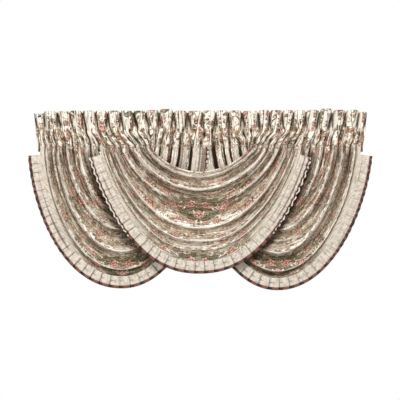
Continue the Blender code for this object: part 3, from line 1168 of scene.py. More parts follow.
@dataclass
class Heading:
    """The ruffle and the rod pocket: one gathered strip, folded over at its top edge."""

    top_half: float = 0.802
    seam_half: float = 0.780
    ruffle_depth: float = 0.032
    pocket_depth: float = 0.010
    crease_drop: float = 0.011  # how far the top edge dips between two gathers
    crease_depth: float = 0.0034  # of the finer creases on a ruffle gather
    unruly: float = 0.0020  # how far the ruffle strays in and out
    stray: float = 0.05  # and the pocket's gathers to the side, for each metre down
    lean_in: float = 0.05  # how far below the stitching their lean is full
    broad: float = 0.472  # a ruffle gather's half width at its top, as a share of its pitch
    drawn_in: float = 0.37  # the same at the stitching
    uneven: float = 0.40  # how much the gathers' widths differ
    wander: float = 0.30  # and how far their middles stray
    wide_run: float = 3.0  # how many gathers out from the middle the pocket's are wider
    wider: float = 0.30  # and by how much
    lump_run: float = 0.03  # how far above the seam the pocket's lumps are full
    columns: int = 22  # across each gather
    thickness: float = 0.0011
    flat_height: float = 0.36
    measured_at: float = 6.5  # the level at which its flat width is measured
    print_place: tuple[float, float] = (-0.11, 0.06)  # where the print lies, across and up
    print_wander: float = 0.16  # how far it strays up and down from gather to gather
    ruffle_tones: tuple[float, float] = (2.30, -0.88)  # how steeply a gather's painted light rises across it, and its painted shade at the lowest
    pocket_tones: tuple[float, float] = (1.95, -0.50)
    crease_tone: float = 110.0  # how much lighter a finer crease is painted, as a highlight, for each metre it rises
    top_tone: float = 0.45  # how much lighter the top edge is painted, as a highlight
    top_drop: float = 0.05  # and how far down that starts

    def __post_init__(self) -> None:
        """Sets out the gathers along the top edge, and the rows up the front and down the back."""
        widths = [run.width for run in GATHERS for _ in range(run.count)]
        self.rises = [run.rise for run in GATHERS for _ in range(run.count)]
        scale = 2 * self.top_half / sum(widths)
        self.edges = walk((width * scale for width in widths), -self.top_half)
        front = [
            index + step / after.rows
            for index, after in enumerate(LEVELS[1:])
            for step in range(after.rows)
        ]
        top = float(len(LEVELS) - 1)
        self.rows = [(at, 1) for at in front] + [(top, 1)] + [(at, -1) for at in front[::-1]]
        self.seam: SeamLine | None = None
        self.flat_width = 0.0

    def level(self, at: float) -> Level:
        """A level between two of the table's.

        Args:
            at: Its number in the table, with a fraction.

        Returns:
            The level, with each of its sizes on a smooth curve through the table's.
        """
        index = min(int(at), len(LEVELS) - 2)
        near = [LEVELS[min(max(index + step, 0), len(LEVELS) - 1)] for step in (-1, 0, 1, 2)]
        sizes = [through(*(level[field] for level in near), at - index) for field in range(1, 6)]
        return Level(LEVELS[index].name, *sizes, rows=0)

    def spot(self, column: int, at: float, side: int) -> Spot:
        """One point of the strip.

        Args:
            column: Its column, from the left end.
            at: Its level.
            side: 1 on the front and -1 on the back.

        Returns:
            The point, without its true place on the flat cloth.
        """
        number = min(column // self.columns, len(self.rises) - 1)
        share = column / self.columns - number
        turn = number + share
        level = self.level(at)
        lift = (level.height + STITCH_DROP) / STITCH_DROP
        pipe, crease = self.ruffle(number, share, lift)
        tight, pocket_light_and_shade = self.pocket(turn, level.height)
        broad_top = 1 - (1 - self.ruffle(number, share, 1.0)[0]) ** 2
        top = self.rises[number] * broad_top - self.crease_drop * (1 - broad_top)
        height = level.height + level.rise * top

        along = mix(self.edges[number], self.edges[number + 1], share)
        drawn = min(1.0, max(0.0, -height / SEAM_DROP))
        along *= mix(1.0, self.seam_half / self.top_half, drawn)
        below = max(0.0, -height - STITCH_DROP)
        if side > 0:
            along += lean(along) * below * smooth(below / self.lean_in)
        along += self.stray * below * ripple(turn * 0.8, 3.1)

        depth = level.ruffle * (self.ruffle_depth * (pipe - 0.5) + crease)
        depth += self.unruly * ripple(turn * 2.2, height * 22, 7.7) * level.ruffle
        reach = max(0.0, level.face) + level.pocket * self.pocket_depth * tight

        # The tone is painted light and shade: light on the ruffle's gathers and shade in the gaps
        # between them, highlights on the top edge and on the finer creases, and light and shade on
        # the pocket's gathers.
        shown = smooth(lift * 3 + 0.4)
        steep, low = self.ruffle_tones
        high = smooth((level.height + self.top_drop) / self.top_drop)
        lit = steep * pipe + low + self.top_tone * high + self.crease_tone * crease
        steep, low = self.pocket_tones
        tone = mix(steep * tight + low + pocket_light_and_shade, lit, shown)
        return Spot((along, -(depth + side * reach), height), (0.0, 0.0), min(1.0, tone))

    def ruffle(self, number: int, share: float, lift: float) -> tuple[float, float]:
        """A gather of the ruffle, which narrows to the stitching.

        Args:
            number: The gather's number from the left.
            share: How far across it.
            lift: How far up from the stitching.

        Returns:
            How far it stands forward, from 0 to 1, and the depth of its finer creases.
        """
        half = mix(self.drawn_in, self.broad, smooth(lift / 0.9))
        half *= 1 + self.uneven * ripple(number * 1.7, 2.2) * (1.15 - lift)
        middle = 0.5 + self.wander * ripple(number * 2.3, 5.1) * (1.2 - lift)
        across = (share - middle) / half
        if abs(across) < 1:
            crease = ripple(across * 2.2 + number * 3.7, lift * 1.4) * (1.25 - lift)
            crease += 0.6 * ripple(across * 5.0 + number * 1.9, lift * 2.5)
            round_off = 1 - across * across
            return (1 - abs(across) ** 2.8) ** 0.55, self.crease_depth * crease * round_off
        edge = middle + math.copysign(half, across)
        room = 1 - edge if across > 0 else edge
        beyond = min(1.0, abs(share - edge) / max(room, 0.01))
        between = (0.55 + 0.7 * ripple(number * 1.3 + across, 8.8)) * (1 - smooth(lift / 0.9))
        between *= math.sin(0.5 * math.pi * beyond) ** 1.5
        return between, 0.0

    def pocket(self, turn: float, height: float) -> tuple[float, float]:
        """A gather of the rod pocket.

        Args:
            turn: Its number from the left, with how far across it as the fraction.
            height: How high up it is.

        Returns:
            How far it stands forward, from 0 to 1, and the painted light and shade along its sharp
            ridge and on its lumps.
        """
        out = (turn - 0.5 * len(self.rises)) / self.wide_run
        phase = 4 * math.pi * (turn - BELL_HALF * self.wide_run * self.wider * math.erf(out))
        phase += 2.8 * ripple(turn * 0.9, height * 18, 9.2)
        tight = (0.5 - 0.5 * math.cos(phase)) ** 0.8
        fine = 0.5 + 0.5 * math.sin(2.37 * phase + 3.0 * ripple(turn * 0.7, height * 22, 1.1))
        lump = ripple(turn * 2.0, height * 40, 6.0)
        held = smooth((height + SEAM_DROP) / self.lump_run)
        return 0.72 * tight + 0.20 * fine + 0.25 * held * lump, 0.4 * fine**3 + 0.6 * held * lump

    def build(self, finish: bpy.types.Material) -> bpy.types.Object:
        """Makes the heading.

        Args:
            finish: Its material.

        Returns:
            Its object.
        """
        columns = self.columns * len(self.rises)
        grid = [[self.spot(c, at, side) for at, side in self.rows] for c in range(columns + 1)]
        widest = next(number for number, (at, _) in enumerate(self.rows) if at >= self.measured_at)
        across = walk(math.dist(a[widest].place, b[widest].place) for a, b in pairwise(grid))
        self.flat_width = across[-1]
        foot = self.rows.index((1.0, 1))
        gathers = []
        for number, spots in enumerate(grid):
            stand, _ = self.pocket(number / self.columns, -SEAM_DROP)
            gathers.append((spots[foot].place[0], stand, spots[foot].tone))
        self.seam = SeamLine(gathers)

        right, up = self.print_place
        spots = []
        for walked, column in zip(across, grid):
            strayed = self.print_wander * ripple(walked * 1.1, 4.7)
            laid = []
            for found, (_, side) in zip(column, self.rows):
                high = side * (found.place[2] + up)
                flat = walked + right, high + strayed
                laid.append(found._replace(cloth=flat, fold=(high, 0.6 * walked)))
            spots.append(laid)
        return sheet_piece("ruffled_heading", spots, self.thickness, finish)


class Row(NamedTuple):
    """A row of a swag's cloth, between two folds of its table.

    Attributes:
        left: How far out its left end leaves the seam.
        right: The same for its right end.
        drop: How far its belly hangs below the seam.
        horn: How far it stands forward at its ends.
        side: The same on its way down.
        belly: The same at its belly.
        tone: Its painted light and shade at its sides.
        low_tone: Its painted light and shade at its belly.
        minor: How far it rises to the lesser ridge or sinks to the lesser trough in a fold, and
            how much lighter or darker that is painted.
    """

    left: float
    right: float
    drop: float
    horn: float
    side: float
    belly: float
    tone: float
    low_tone: float
    minor: float


class Strip(NamedTuple):
    """A pleated strip along a swag's edge: how far out from the edge it starts, its width, the
    steps across it, how far its middle stands out, and its thickness."""

    name: str
    start: float
    width: float
    rows: int
    crown: float
    thickness: float


EDGE_STEPS = 2000  # in which a swag's curved edge is measured
HORN_INSET = 0.006  # along that edge, from a horn to the cloth's next column

# Degrees round from a horn to where a fold is at its side's height, and from there to its belly.
SIDE_TURN = 48.0
BELLY_TURN = 42.0


@dataclass
class Swag:
    """A swag, its pleated border and its edging. A pair holds a value for each half of its edge,
    the left one first."""

    name: str
    folds: tuple[Fold, ...]
    mirrored: bool
    centre: float
    width: float
    length: float
    forward: float  # how far it hangs out from the seam's plane
    soon: float  # and how far down it has most of that
    spread: float  # how square its edge is across, and down
    fall: float
    lap: float  # how far its inner side stands forward, over or under the other side swag
    seed: float
    print_shift: float
    flat: tuple[float, float]
    flat_area: float
    top_spread: float = 1.72  # how square its turned top is across, and down
    top_fall: float = 1.45
    row_pitch: float = 0.0023
    columns: int = 204
    thickness: float = 0.0011
    taken_up: float = 1.5  # flat cloth for each metre of the folded face
    lap_from: float = 0.150  # how far out from the valance's middle its lap starts
    lap_run: float = 0.085  # and how much further in it is full
    puff: float = 0.0100  # how far it puffs out just below the seam
    puff_drop: float = 0.030  # and how far down that has mostly gone
    lip: float = 0.0026  # how far it steps forward at the seam
    lip_drop: float = 0.004  # and how far down that takes
    tuck_up: float = 0.005  # how far its upper edge reaches up past the seam
    fold_drop: float = 0.006  # how far down its folds have mostly risen
    gather_depth: float = 0.0045
    ridge_depth: float = 0.0026  # of the creases between the folds, and of the finer ones
    fine_depth: float = 0.0012
    swell: float = 0.0024  # how far it swells in and out
    minor_depth: float = 0.0016  # of the lesser ridge in each fold
    gather_run: tuple[float, float] = (0.11, 0.40)  # how far down gathers run, and in the gap
    crest: float = 0.40  # how much of a fold's rise its painted highlight takes
    pale_from: float = 99.0  # the row from which the painted shade in its belly's hollows is lighter
    pale_to: float = -99.0  # the row down to which it is lighter there too
    rim: float = -99.0  # the row down to which its turned top has a painted highlight
    foot_shade: float = 0.0  # how much darker its foot is
    shade: float = 0.9  # how much darker it is close behind the swag in front
    shade_reach: float = 0.030
    horn_shade: tuple[float, float] = (0.50, 0.50)
    horn_drop: float = 0.13  # how far down its horns' shade has mostly gone
    border_width: float = 0.044
    border_start: tuple[float, float] = (0.045, 0.045)  # how far below the seam it starts
    border_thickness: float = 0.0008
    border_rows: int = 10
    edging_rows: int = 5
    edging_width: float = 0.0125
    edging_thickness: float = 0.0022
    edging_crown: float = 0.0012
    pleat_pitch: float = 0.042
    pleat_depth: float = 0.0036
    pleat_under: float = 0.13  # how much of its pitch a pleat tucks under the one before
    pleat_steps: int = 6
    pleat_fullness: float = 1.6  # flat cloth for each metre of the border
    tucked: float = 0.08  # how far a pleat stands out where it starts
    underlap: float = 0.55  # and the cloth that turns under its end
    pucker: float = 0.0012  # how far the border's sides draw up
    flutter: tuple[float, float] = (0.0015, 0.0015)  # and how far they wave
    side_shade: tuple[float, float] = (0.0, 0.0)  # how much darker the border's sides are painted, as shade
    turned: tuple[float, float] = (0.0, 0.0)  # how much of the edging shows its underside
    tack: float = 0.62  # how dark the painted shade is at the tacks that hold the pleats

    def __post_init__(self) -> None:
        """Measures the swag's curved edge, and sets out its border's pleats."""
        self.last = len(self.folds) - 1
        self.seam: SeamLine | None = None
        angles = [math.pi * step / EDGE_STEPS for step in range(EDGE_STEPS + 1)]
        self.edge = [Vector(self.point(self.last, angle)[0]) for angle in angles]
        self.lengths = walk((after - before).length for before, after in pairwise(self.edge))
        self.pleats, self.border_length = self.set_out_pleats()

    def between(self, at: float) -> Row:
        """Reads the table of folds.

        Args:
            at: A row's number, with a fraction between two folds.

        Returns:
            The row there.
        """
        index = min(int(at), self.last - 1)
        share = at - index
        above, below = self.folds[index], self.folds[index + 1]
        left = mix(above.left, below.left, share) * self.width
        right = mix(above.right, below.right, share) * self.width
        if self.mirrored:
            left, right = right, left
        if above.side < below.side:  # it swells from a trough to the top of a fold
            rise = mix(share, share * share, 0.75)
            # Painted shade in the trough, growing lighter to a painted highlight at the fold's
            # top.
            top = smooth((share - 1 + self.crest) / (0.6 * self.crest))
            tone = mix(-0.45 + 0.75 * smooth(share / 0.26), 1.0, top)
            minor = -0.24 * bump(share, 0.48, 0.16)
            low_tone = 0.12 + 0.32 * smooth(share / 0.5) + 0.56 * share**8
            crest_highlight = step_up(share, 0.80, 0.16)
        else:  # it falls from there into the next trough
            rise = 1 - (1 - share) ** 2.0
            # A painted highlight at the top, falling away to painted shade in the next trough.
            tone = 1 - 1.05 * step_up(share, 0.45 * self.crest, 0.28)
            tone -= 0.40 * step_up(share, 0.8, 0.2)
            minor = 0.62 * bump(share, 0.72, 0.22)
            low_tone = 1 - 0.94 * smooth(share / 0.26)
            crest_highlight = 1 - smooth(share / 0.14)
        horn, side, belly = (mix(above[field], below[field], rise) for field in (4, 5, 6))
        # Painted shade across the belly only where its folds are deep.
        deep = step_up(abs(above.belly - below.belly), 0.013, 0.006)
        low_tone = mix(0.25, low_tone + 0.5 * crest_highlight, deep)
        # A painted highlight on the turned top, and lighter painted shade in the pale rows.
        rim = 0.95 * step_down(at, self.rim, 0.3)
        tone = max(tone, rim)
        pale = 0.55 * step_up(at, self.pale_from, 0.6) + 0.40 * step_down(at, self.pale_to, 0.6)
        low_tone = max(low_tone, pale, rim)
        drop = mix(above.drop, below.drop, share) * self.length
        return Row(left, right, drop, horn, side, belly, tone + 0.45 * crest_highlight, low_tone, minor)

    def mean_face(self, across: float, down: float) -> float:
        """The swag's mean face, without its folds.

        Args:
            across: The place across.
            down: How far below the seam.

        Returns:
            How far forward it is.
        """
        away = self.forward * (1 - math.exp(-down / self.soon))
        inward = -across if self.centre < 0 else across
        crossing = step_down(inward, self.lap_from, self.lap_run) * step_up(down, 0.003, 0.024)
        puff = self.puff * math.exp(-max(0.0, down) / self.puff_drop)
        puff += self.lip * smooth(down / self.lip_drop + 0.5)
        return SEAM_FACE + puff + away + self.lap * crossing

    def crinkle(
        self, row: float, angle: float, gap: float, tight: float, down: float
    ) -> tuple[float, float]:
        """The small creases between the folds.

        Args:
            row: The row's number.
            angle: The angle along it.
            gap: 1 where the row leaves the seam in the gap over the centre swag.
            tight: How far the gather there stands forward.
            down: How far below the seam.

        Returns:
            How far they lift the cloth, and the painted light and shade they add.
        """
        inner = step_down(row, self.last, 0.8) * smooth(down / 0.006)
        if not inner:
            return 0.0, 0.0
        gather = (2 * tight - 1) * math.exp(-down / mix(*self.gather_run, gap))
        ridge = ridge_at(row * 0.95 + self.seed, angle * 1.3, self.seed)
        fine = ridge_at(row * 2.3, angle * 2.6 + self.seed, self.seed)
        lift = self.gather_depth * gather + self.ridge_depth * ridge**3 + self.fine_depth * fine**2
        lift += self.swell * ripple(row * 0.8 + self.seed, angle * 2.1, 4.4)
        sharp = 0.45 * gather + 0.45 * ridge**4 + 0.25 * fine**3
        return inner * lift, inner * sharp

    def point(self, at: float, angle: float) -> tuple[tuple[float, float, float], float]:
        """The cloth at a row and an angle.

        Args:
            at: The row's number, from the turned top to the edge.
            angle: 0 at the left horn and pi at the right.

        Returns:
            The middle of the cloth there, and its tone of painted light and shade.
        """
        row = self.between(at)
        depth = row.drop / (self.folds[-1].drop * self.length)
        run = math.cos(angle)
        half = row.left if run > 0 else row.right
        power = 2 / mix(self.top_spread, self.spread, depth)
        across = self.centre - half * math.copysign(abs(run) ** power, run)
        power = 2 / mix(self.top_fall, self.fall, depth)
        down = row.drop * max(0.0, math.sin(angle)) ** power

        minor = row.minor * max(0.0, 0.60 + 1.3 * ripple(angle * 1.6, int(at) * 3.1, self.seed))
        tone = row.tone + minor
        turn = min(angle, math.pi - angle)
        if turn < math.radians(SIDE_TURN):
            height = mix(row.horn, row.side, smooth(turn / math.radians(SIDE_TURN)))
        else:
            low = step_up(math.degrees(turn), SIDE_TURN, BELLY_TURN)
            height = mix(row.side, row.belly, low)
            tone = mix(tone, row.low_tone, low)
        height *= 1 - math.exp(-down / self.fold_drop)

        horn = self.centre - half if run > 0 else self.centre + half
        gap = in_gap(horn)
        tight, seam_tone = self.seam.at(horn) if self.seam else (0.5, 0.5)
        lift, sharp = self.crinkle(at, angle, gap, tight, down)
        # Painted shade near the horns, fading down; the heading's painted light and shade carried
        # down from the seam, with more contrast in the gap; painted shade over the foot; and the
        # crinkles' painted highlights.
        shade = self.horn_shade[0 if run > 0 else 1]
        tone -= shade * (1 - tone) * math.exp(-down / self.horn_drop)
        seam_tone += 1.9 * gap * (seam_tone - 0.31) * smooth(down / 0.03)
        tone = mix(seam_tone, tone, step_up(down, 0.10 * gap, mix(0.05, 0.10, gap)))
        tone -= self.foot_shade * step_up(depth, 0.50, 0.35)
        sharp *= smooth(down / 0.03)
        tone += sharp * (1 - 0.6 * min(1.0, tone))

        forward = self.mean_face(across, down) + height + lift + self.minor_depth * minor
        up = -SEAM_DROP - SEWN_GAP - down + self.tuck_up * math.exp(-down / 0.002)
        return (across, -forward, up), max(-1.0, min(1.5, tone))

    def at(self, distance: float) -> tuple[Vector, float, float]:
        """A point of the curved edge, and the way out from it in the valance's plane.

        Args:
            distance: How far along the edge from its left end.

        Returns:
            The point, and the way out's two parts, across and up.
        """
        index = min(max(bisect(self.lengths, distance), 3), EDGE_STEPS - 3)
        run = self.edge[index + 2] - self.edge[index - 2]
        long = math.hypot(run.x, run.z)
        before, after = self.lengths[index - 1], self.lengths[index]
        share = min(1.0, max(0.0, (distance - before) / (after - before)))
        return self.edge[index - 1].lerp(self.edge[index], share), run.z / long, -run.x / long

    def outline(self) -> KDTree:
        """The outer line of the edging, from the front.

        Returns:
            Its places, for finding how near to it a place is.
        """
        out = self.border_width + self.edging_width
        line = KDTree(len(self.pleats))
        for number, (distance, _, _) in enumerate(self.pleats):
            place, out_across, out_up = self.at(distance)
            line.insert((place.x + out_across * out, 0.0, place.z + out_up * out), number)
        line.balance()
        return line

    def row_numbers(self) -> list[float]:
        """The cloth's rows.

        Returns:
            Their numbers, which lie closer together at the top of each fold.
        """
        rows = []
        for index, (above, below) in enumerate(pairwise(self.folds)):
            steps = max(5, round((below.drop - above.drop) / self.row_pitch))
            swells = above.side < below.side
            for step in range(steps):
                share = step / steps
                rows.append(index + (1 - (1 - share) ** 1.4 if swells else share**1.4))
        return [*rows, float(self.last)]

    def column_angles(self) -> list[float]:
        """The cloth's columns.

        Returns:
            Their angles, spaced evenly along the swag's curved edge.
        """
        run = self.lengths[-1] - 2 * HORN_INSET
        inner = self.columns - 2
        spans = [HORN_INSET + run * step / inner for step in range(inner + 1)]
        reached = [min(EDGE_STEPS, bisect(self.lengths, span)) for span in spans]
        return [0.0, *[math.pi * index / EDGE_STEPS for index in reached], math.pi]

    def build_cloth(
        self, finish: bpy.types.Material, seam: SeamLine, front: KDTree | None
    ) -> bpy.types.Object:
        """Makes the swag's cloth.

        Args:
            finish: Its material.
            seam: The gathers along the seam, which its folds take up.
            front: The outer line of the swag that hangs in front of it, if one does; its shadow is
                painted beside that line.

        Returns:
            Its object.
        """
        self.seam = seam
        rows, angles = self.row_numbers(), self.column_angles()
        grid = [[self.point(row, angle) for row in rows] for angle in angles]
        middle = min(range(len(angles)), key=lambda i: abs(angles[i] - 0.5 * math.pi))
        beside = min(range(len(angles)), key=lambda i: abs(angles[i] - 0.9))
        across = []
        for row in range(len(rows)):
            walked = walk(math.dist(near[row][0], far[row][0]) for near, far in pairwise(grid))
            across.append([span - walked[middle] for span in walked])
        down = []
        for column in grid:
            steps = (self.taken_up * math.dist(near[0], far[0]) for near, far in pairwise(column))
            down.append(walk(steps, self.print_shift))

        spots = []
        for column, angle in enumerate(angles):
            steep = step_down(min(angle, math.pi - angle), 1.25, 0.5)
            laid = []
            for row, (place, tone) in enumerate(grid[column]):
                # Painted shadow of the swag in front, close beside its outer line.
                if front:
                    near = front.find((place[0], 0.0, place[2]))[2] / self.shade_reach
                    tone -= self.shade * math.exp(-(near**2)) * (0.4 + max(0.0, tone))
                flat = across[row][column], down[column][row]
                fold = flat[0], (down[beside][row] - self.print_shift) / self.taken_up
                plain = steep * smooth((rows[row] - self.last + 1.6) / 0.5)
                laid.append(Spot(place, flat, tone, fold, plain))
            spots.append(laid)
        return sheet_piece(f"swag_cloth_{self.name}", spots, self.thickness, finish)

    def set_out_pleats(self) -> tuple[list[tuple[float, float, float]], float]:
        """Sets out the pleats of the border along the swag's edge.

        Returns:
            For each of its columns the distance along the edge, how far it stands out, as a share
            of a pleat's depth, and its place in its pleat, from 0 to 1, and then the border's
            length.
        """
        lows = [-SEAM_DROP - start for start in self.border_start]
        below = [i for i, at in enumerate(self.edge) if at.z < lows[i > EDGE_STEPS // 2]]
        first, final = self.lengths[below[0]], self.lengths[below[-1]]
        count = round((final - first) / self.pleat_pitch)
        pitch = (final - first) / count
        path = []
        for number in range(count):
            begin = first + number * pitch
            under = self.pleat_under if number else 0.0
            for step in range(self.pleat_steps + 1):
                share = step / self.pleat_steps
                stand = mix(self.tucked, 1.0, share)
                path.append((begin + mix(-under, 1.0, share) * pitch, stand, share))
            if number < count - 1:
                turn = begin + (1 - 0.5 * self.pleat_under) * pitch
                path.append((turn, self.underlap, 1.0))
        return path, final - first

    def half(self, pair: tuple[float, float], distance: float) -> float:
        """The value of a pair that holds at a distance along the edge."""
        return pair[0 if distance < 0.5 * self.lengths[-1] else 1]

    def build_strip(
        self,
        strip: Strip,
        tone: Callable[[float, float, float, float], float],
        finish: bpy.types.Material,
    ) -> bpy.types.Object:
        """Makes a pleated strip along the swag's edge.

        Args:
            strip: Its name and its sizes.
            tone: Gives a point's tone, as border_tone does.
            finish: Its material.

        Returns:
            Its object.
        """
        walked = walk(abs(far[0] - near[0]) for near, far in pairwise(self.pleats))
        whole = self.border_width + self.edging_width
        spots = []
        for along, (distance, stand, share) in zip(walked, self.pleats):
            place, out_across, out_up = self.at(distance)
            crossing = step_up(abs(out_up), 0.50, 0.25)
            flutter = self.half(self.flutter, distance)
            wave = math.sin(2 * math.pi * distance / (0.85 * self.pleat_pitch) + self.seed)
            column = []
            for row in range(strip.rows + 1):
                away = row / strip.rows
                reach = (strip.start + strip.width * away - EDGE_GAP) / whole
                lift = self.pleat_depth * stand * mix(0.15, 1.0, crossing) * (0.55 + 0.6 * reach)
                streak = math.sin(14 * reach + 1.6 * math.sin(9 * distance + self.seed))
                lift += self.pucker * (1 - crossing) * streak
                lift += flutter * (1 - crossing) * reach * reach * wave
                lift += strip.crown * math.sin(math.pi * away)
                out = strip.start + strip.width * away
                out += 0.8 * flutter * (1 - crossing) * reach**3 * wave
                at = (place.x + out_across * out, place.y - lift, place.z + out_up * out)
                column.append(Spot(at, (along, out), tone(distance, share, away, crossing)))
            spots.append(column)
        return sheet_piece(strip.name, spots, strip.thickness, finish)

    def border_tone(self, distance: float, share: float, away: float, crossing: float) -> float:
        """The border's tone of painted light and shade.

        Args:
            distance: The distance along the edge.
            share: The place in its pleat, from 0 to 1.
            away: The place across the strip, from 0 to 1.
            crossing: 1 along the swag's foot, and 0 up its sides.

        Returns:
            The tone, with painted shade where a pleat tucks under, at the tack that holds it,
            across each pleat's roll, along its head beside the swag's cloth and in streaks up the
            sides.
        """
        # Painted shade at each joint, where a pleat tucks under the one before, stronger in some
        # places than in others.
        glare_and_joint_shade = 0.8 + 0.9 * ripple(distance * 19, self.seed)
        joint = 1 - glare_and_joint_shade * (1 - smooth(share / 0.12) * step_down(share, 1.03, 0.08))
        rolled = mix(0.44, 1.0, smooth(share / 0.55))
        tack = self.tack if 0.45 < away < 0.55 and 0.05 < share < 0.66 else 0.0
        head = 1 - 0.35 * (1 - smooth(away / 0.15))
        pleat = joint * rolled * head - tack * step_up(crossing, 0.88, 0.12)
        # Painted shade in streaks up the sides, and over the darker sides.
        streak = ripple(away * 5.0, distance * 3.0, self.seed) - 0.02
        along = 1.0 - max(0.0, 1.8 * streak)
        tone = mix(mix(1.0, joint, 0.18) * along, pleat, crossing)
        side_shade = self.half(self.side_shade, distance) * (1 - crossing)
        return tone * (1 - side_shade * mix(0.50, 1.20, away + 2.6 * streak))

    def edging_tone(self, distance: float, share: float, away: float, crossing: float) -> float:
        """The edging's tone.

        Args:
            distance: The distance along the edge.
            share: The place in its pleat, from 0 to 1.
            away: The place across the strip, from 0 to 1.
            crossing: 1 along the swag's foot, and 0 up its sides.

        Returns:
            1 in the middle of a pleat, 0 at its ends and over 1 where its ivory underside is
            turned out.
        """
        down = step_up(share, 0.32, 0.12) * step_down(share, 0.90, 0.10)
        wave = math.sin(2 * math.pi * distance / (0.6 * self.pleat_pitch))
        wave += 1.1 * ripple(distance * 31, self.seed)
        tone = mix(smooth(0.22 + 0.9 * wave), down, crossing)
        turned = self.half(self.turned, distance) * (1 - crossing)
        saw = abs(2 * (distance / (0.5 * self.pleat_pitch) % 1.0) - 1)
        shown = smooth((turned * 1.3 - 0.25 - saw) / 0.15)
        return tone + 2.0 * shown * step_up(away, 0.45, 0.2)

    def build_border(self, finish: bpy.types.Material) -> bpy.types.Object:
        """Makes the ivory border.

        Args:
            finish: Its material.

        Returns:
            Its object.
        """
        name = f"pleated_border_{self.name}"
        sizes = (EDGE_GAP, self.border_width, self.border_rows, 0.0, self.border_thickness)
        return self.build_strip(Strip(name, *sizes), self.border_tone, finish)

    def build_edging(self, finish: bpy.types.Material) -> bpy.types.Object:
        """Makes the two-tone edging.

        Args:
            finish: Its material.

        Returns:
            Its object.
        """
        name = f"trim_{self.name}"
        start = EDGE_GAP + self.border_width + SEWN_GAP
        crown, thickness = self.edging_crown, self.edging_thickness
        sizes = (start, self.edging_width, self.edging_rows, crown, thickness)
        return self.build_strip(Strip(name, *sizes), self.edging_tone, finish)


SWAGS = (
    Swag(
        "left", SIDE_FOLDS, mirrored=False, centre=-0.3775, width=1.0, length=1.0, forward=0.034,
        soon=0.060, spread=2.09, fall=1.74, lap=0.018, seed=0.7, print_shift=0.33,
        flat=(1.10, 0.90), flat_area=0.62, flutter=(0.0015, 0.004), side_shade=(0.0, 1.0),
        horn_shade=(0.5, 0.4), border_start=(0.045, 0.006), turned=(0.0, 0.7), foot_shade=0.10,
    ),
    Swag(
        "right", SIDE_FOLDS, mirrored=True, centre=0.366, width=1.03, length=1.014, forward=0.034,
        soon=0.060, spread=2.045, fall=1.555, lap=-0.003, seed=2.9, print_shift=0.33,
        flat=(1.10, 0.90), flat_area=0.62, horn_shade=(0.4, 0.5), foot_shade=0.17,
    ),
    Swag(
        "centre", CENTRE_FOLDS, mirrored=False, centre=-0.008, width=1.0, length=1.0,
        forward=0.088, soon=0.032, spread=2.29, fall=1.18, lap=0.0, seed=5.3, print_shift=0.285,
        flat=(1.30, 0.90), flat_area=0.70, flutter=(0.004, 0.004), turned=(1.0, 0.8),
        pale_from=7.0, pale_to=2.5, rim=0.45,
    ),
)


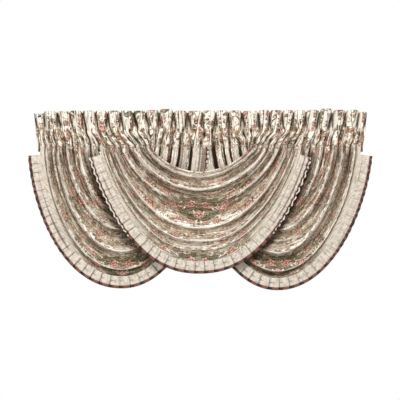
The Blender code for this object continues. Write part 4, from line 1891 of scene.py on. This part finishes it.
@dataclass
class Studio:
    """The floor, the soft lights and the camera."""

    distance: float = 7.0
    view_width: float = 1.92
    look_at: tuple[float, float] = (-0.0024, -0.4296)
    floor_height: float = -1.9
    ambient: float = 0.34

    def build(self) -> None:
        """Makes them all."""
        self.build_floor()
        self.build_lights()
        self.build_camera()

    def build_floor(self) -> None:
        """Makes a pale floor well below the valance."""
        built = bmesh.new()
        bmesh.ops.create_grid(built, x_segments=1, y_segments=1, size=3.0)
        mesh = bpy.data.meshes.new("floor")
        built.to_mesh(mesh)
        built.free()
        mesh.transform(Matrix.Translation((0.0, -0.2, self.floor_height)))
        graph, shader = new_material("pale_floor", 0.7)
        grain = graph.node("TexNoise", {"Scale": 3.0}).outputs[0]
        colour = graph.blend(grain, (0.80, 0.80, 0.79), (0.86, 0.86, 0.85))
        graph.tree.links.new(colour, shader.inputs["Base Color"])
        mesh.materials.append(bpy.data.materials["pale_floor"])
        floor = bpy.data.objects.new("floor", mesh)
        bpy.context.scene.collection.objects.link(floor)

    def build_lights(self) -> None:
        """Makes a white surround and three large soft lights."""
        world = bpy.data.worlds.new("studio")
        bpy.context.scene.world = world
        world.use_nodes = True
        graph = Graph(world.node_tree)
        surround = world.node_tree.nodes["Background"]
        surround.inputs["Color"].default_value = (1.0, 1.0, 1.0, 1.0)
        seen = graph.node("LightPath").outputs["Is Camera Ray"]
        strength = graph.line(seen, 1.0 - self.ambient, self.ambient)
        world.node_tree.links.new(strength, surround.inputs["Strength"])
        for name, place, size, power in (
            ("key", (0.7, -3.9, 2.6), 1.0, 172.0),
            ("fill", (-2.2, -3.8, 0.2), 2.2, 60.0),
            ("back", (0.6, 3.0, 1.2), 2.0, 30.0),
        ):
            light = bpy.data.lights.new(name, "AREA")
            light.shape = "DISK"
            light.size = size
            light.energy = power
            lamp = bpy.data.objects.new(name, light)
            lamp.location = place
            aim = Vector((0.0, 0.0, -0.4)) - Vector(place)
            lamp.rotation_euler = aim.to_track_quat("-Z", "Y").to_euler()
            bpy.context.scene.collection.objects.link(lamp)

    def build_camera(self) -> None:
        """Makes a camera that looks at the valance straight from the front."""
        camera = bpy.data.cameras.new("camera")
        camera.sensor_width = 36.0
        camera.lens = 36.0 * self.distance / self.view_width
        item = bpy.data.objects.new("camera", camera)
        item.location = (self.look_at[0], -self.distance, self.look_at[1])
        item.rotation_euler = (math.pi / 2, 0.0, 0.0)
        bpy.context.scene.collection.objects.link(item)
        bpy.context.scene.camera = item
        bpy.context.scene.view_settings.view_transform = "Standard"


def finish_piece(piece: bpy.types.Object, node: str) -> None:
    """Ties a piece to the rest of the part.

    Args:
        piece: The piece.
        node: The solid that it stands for.
    """
    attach(piece, BODY)
    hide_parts(node)
    LOG.info("%s: %d points", piece.name, len(piece.data.vertices))


def main() -> None:
    """Builds every piece, and the studio round them."""
    build_groups()
    jacquard = JacquardFinish().material()
    ivory = PleatFinish().material()
    edging = EdgingFinish().material()

    heading = Heading()
    cloth = heading.build(jacquard)
    finish_piece(cloth, "heading")

    front = SWAGS[-1]
    for swag in SWAGS:
        line = front.outline() if swag is not front else None
        draped = swag.build_cloth(jacquard, heading.seam, line)
        finish_piece(draped, f"swag_{swag.name}")
        border = swag.build_border(ivory)
        finish_piece(border, f"border_{swag.name}")
        trim = swag.build_edging(edging)
        finish_piece(trim, f"edging_{swag.name}")

    Studio().build()


if __name__ == "__main__":
    main()
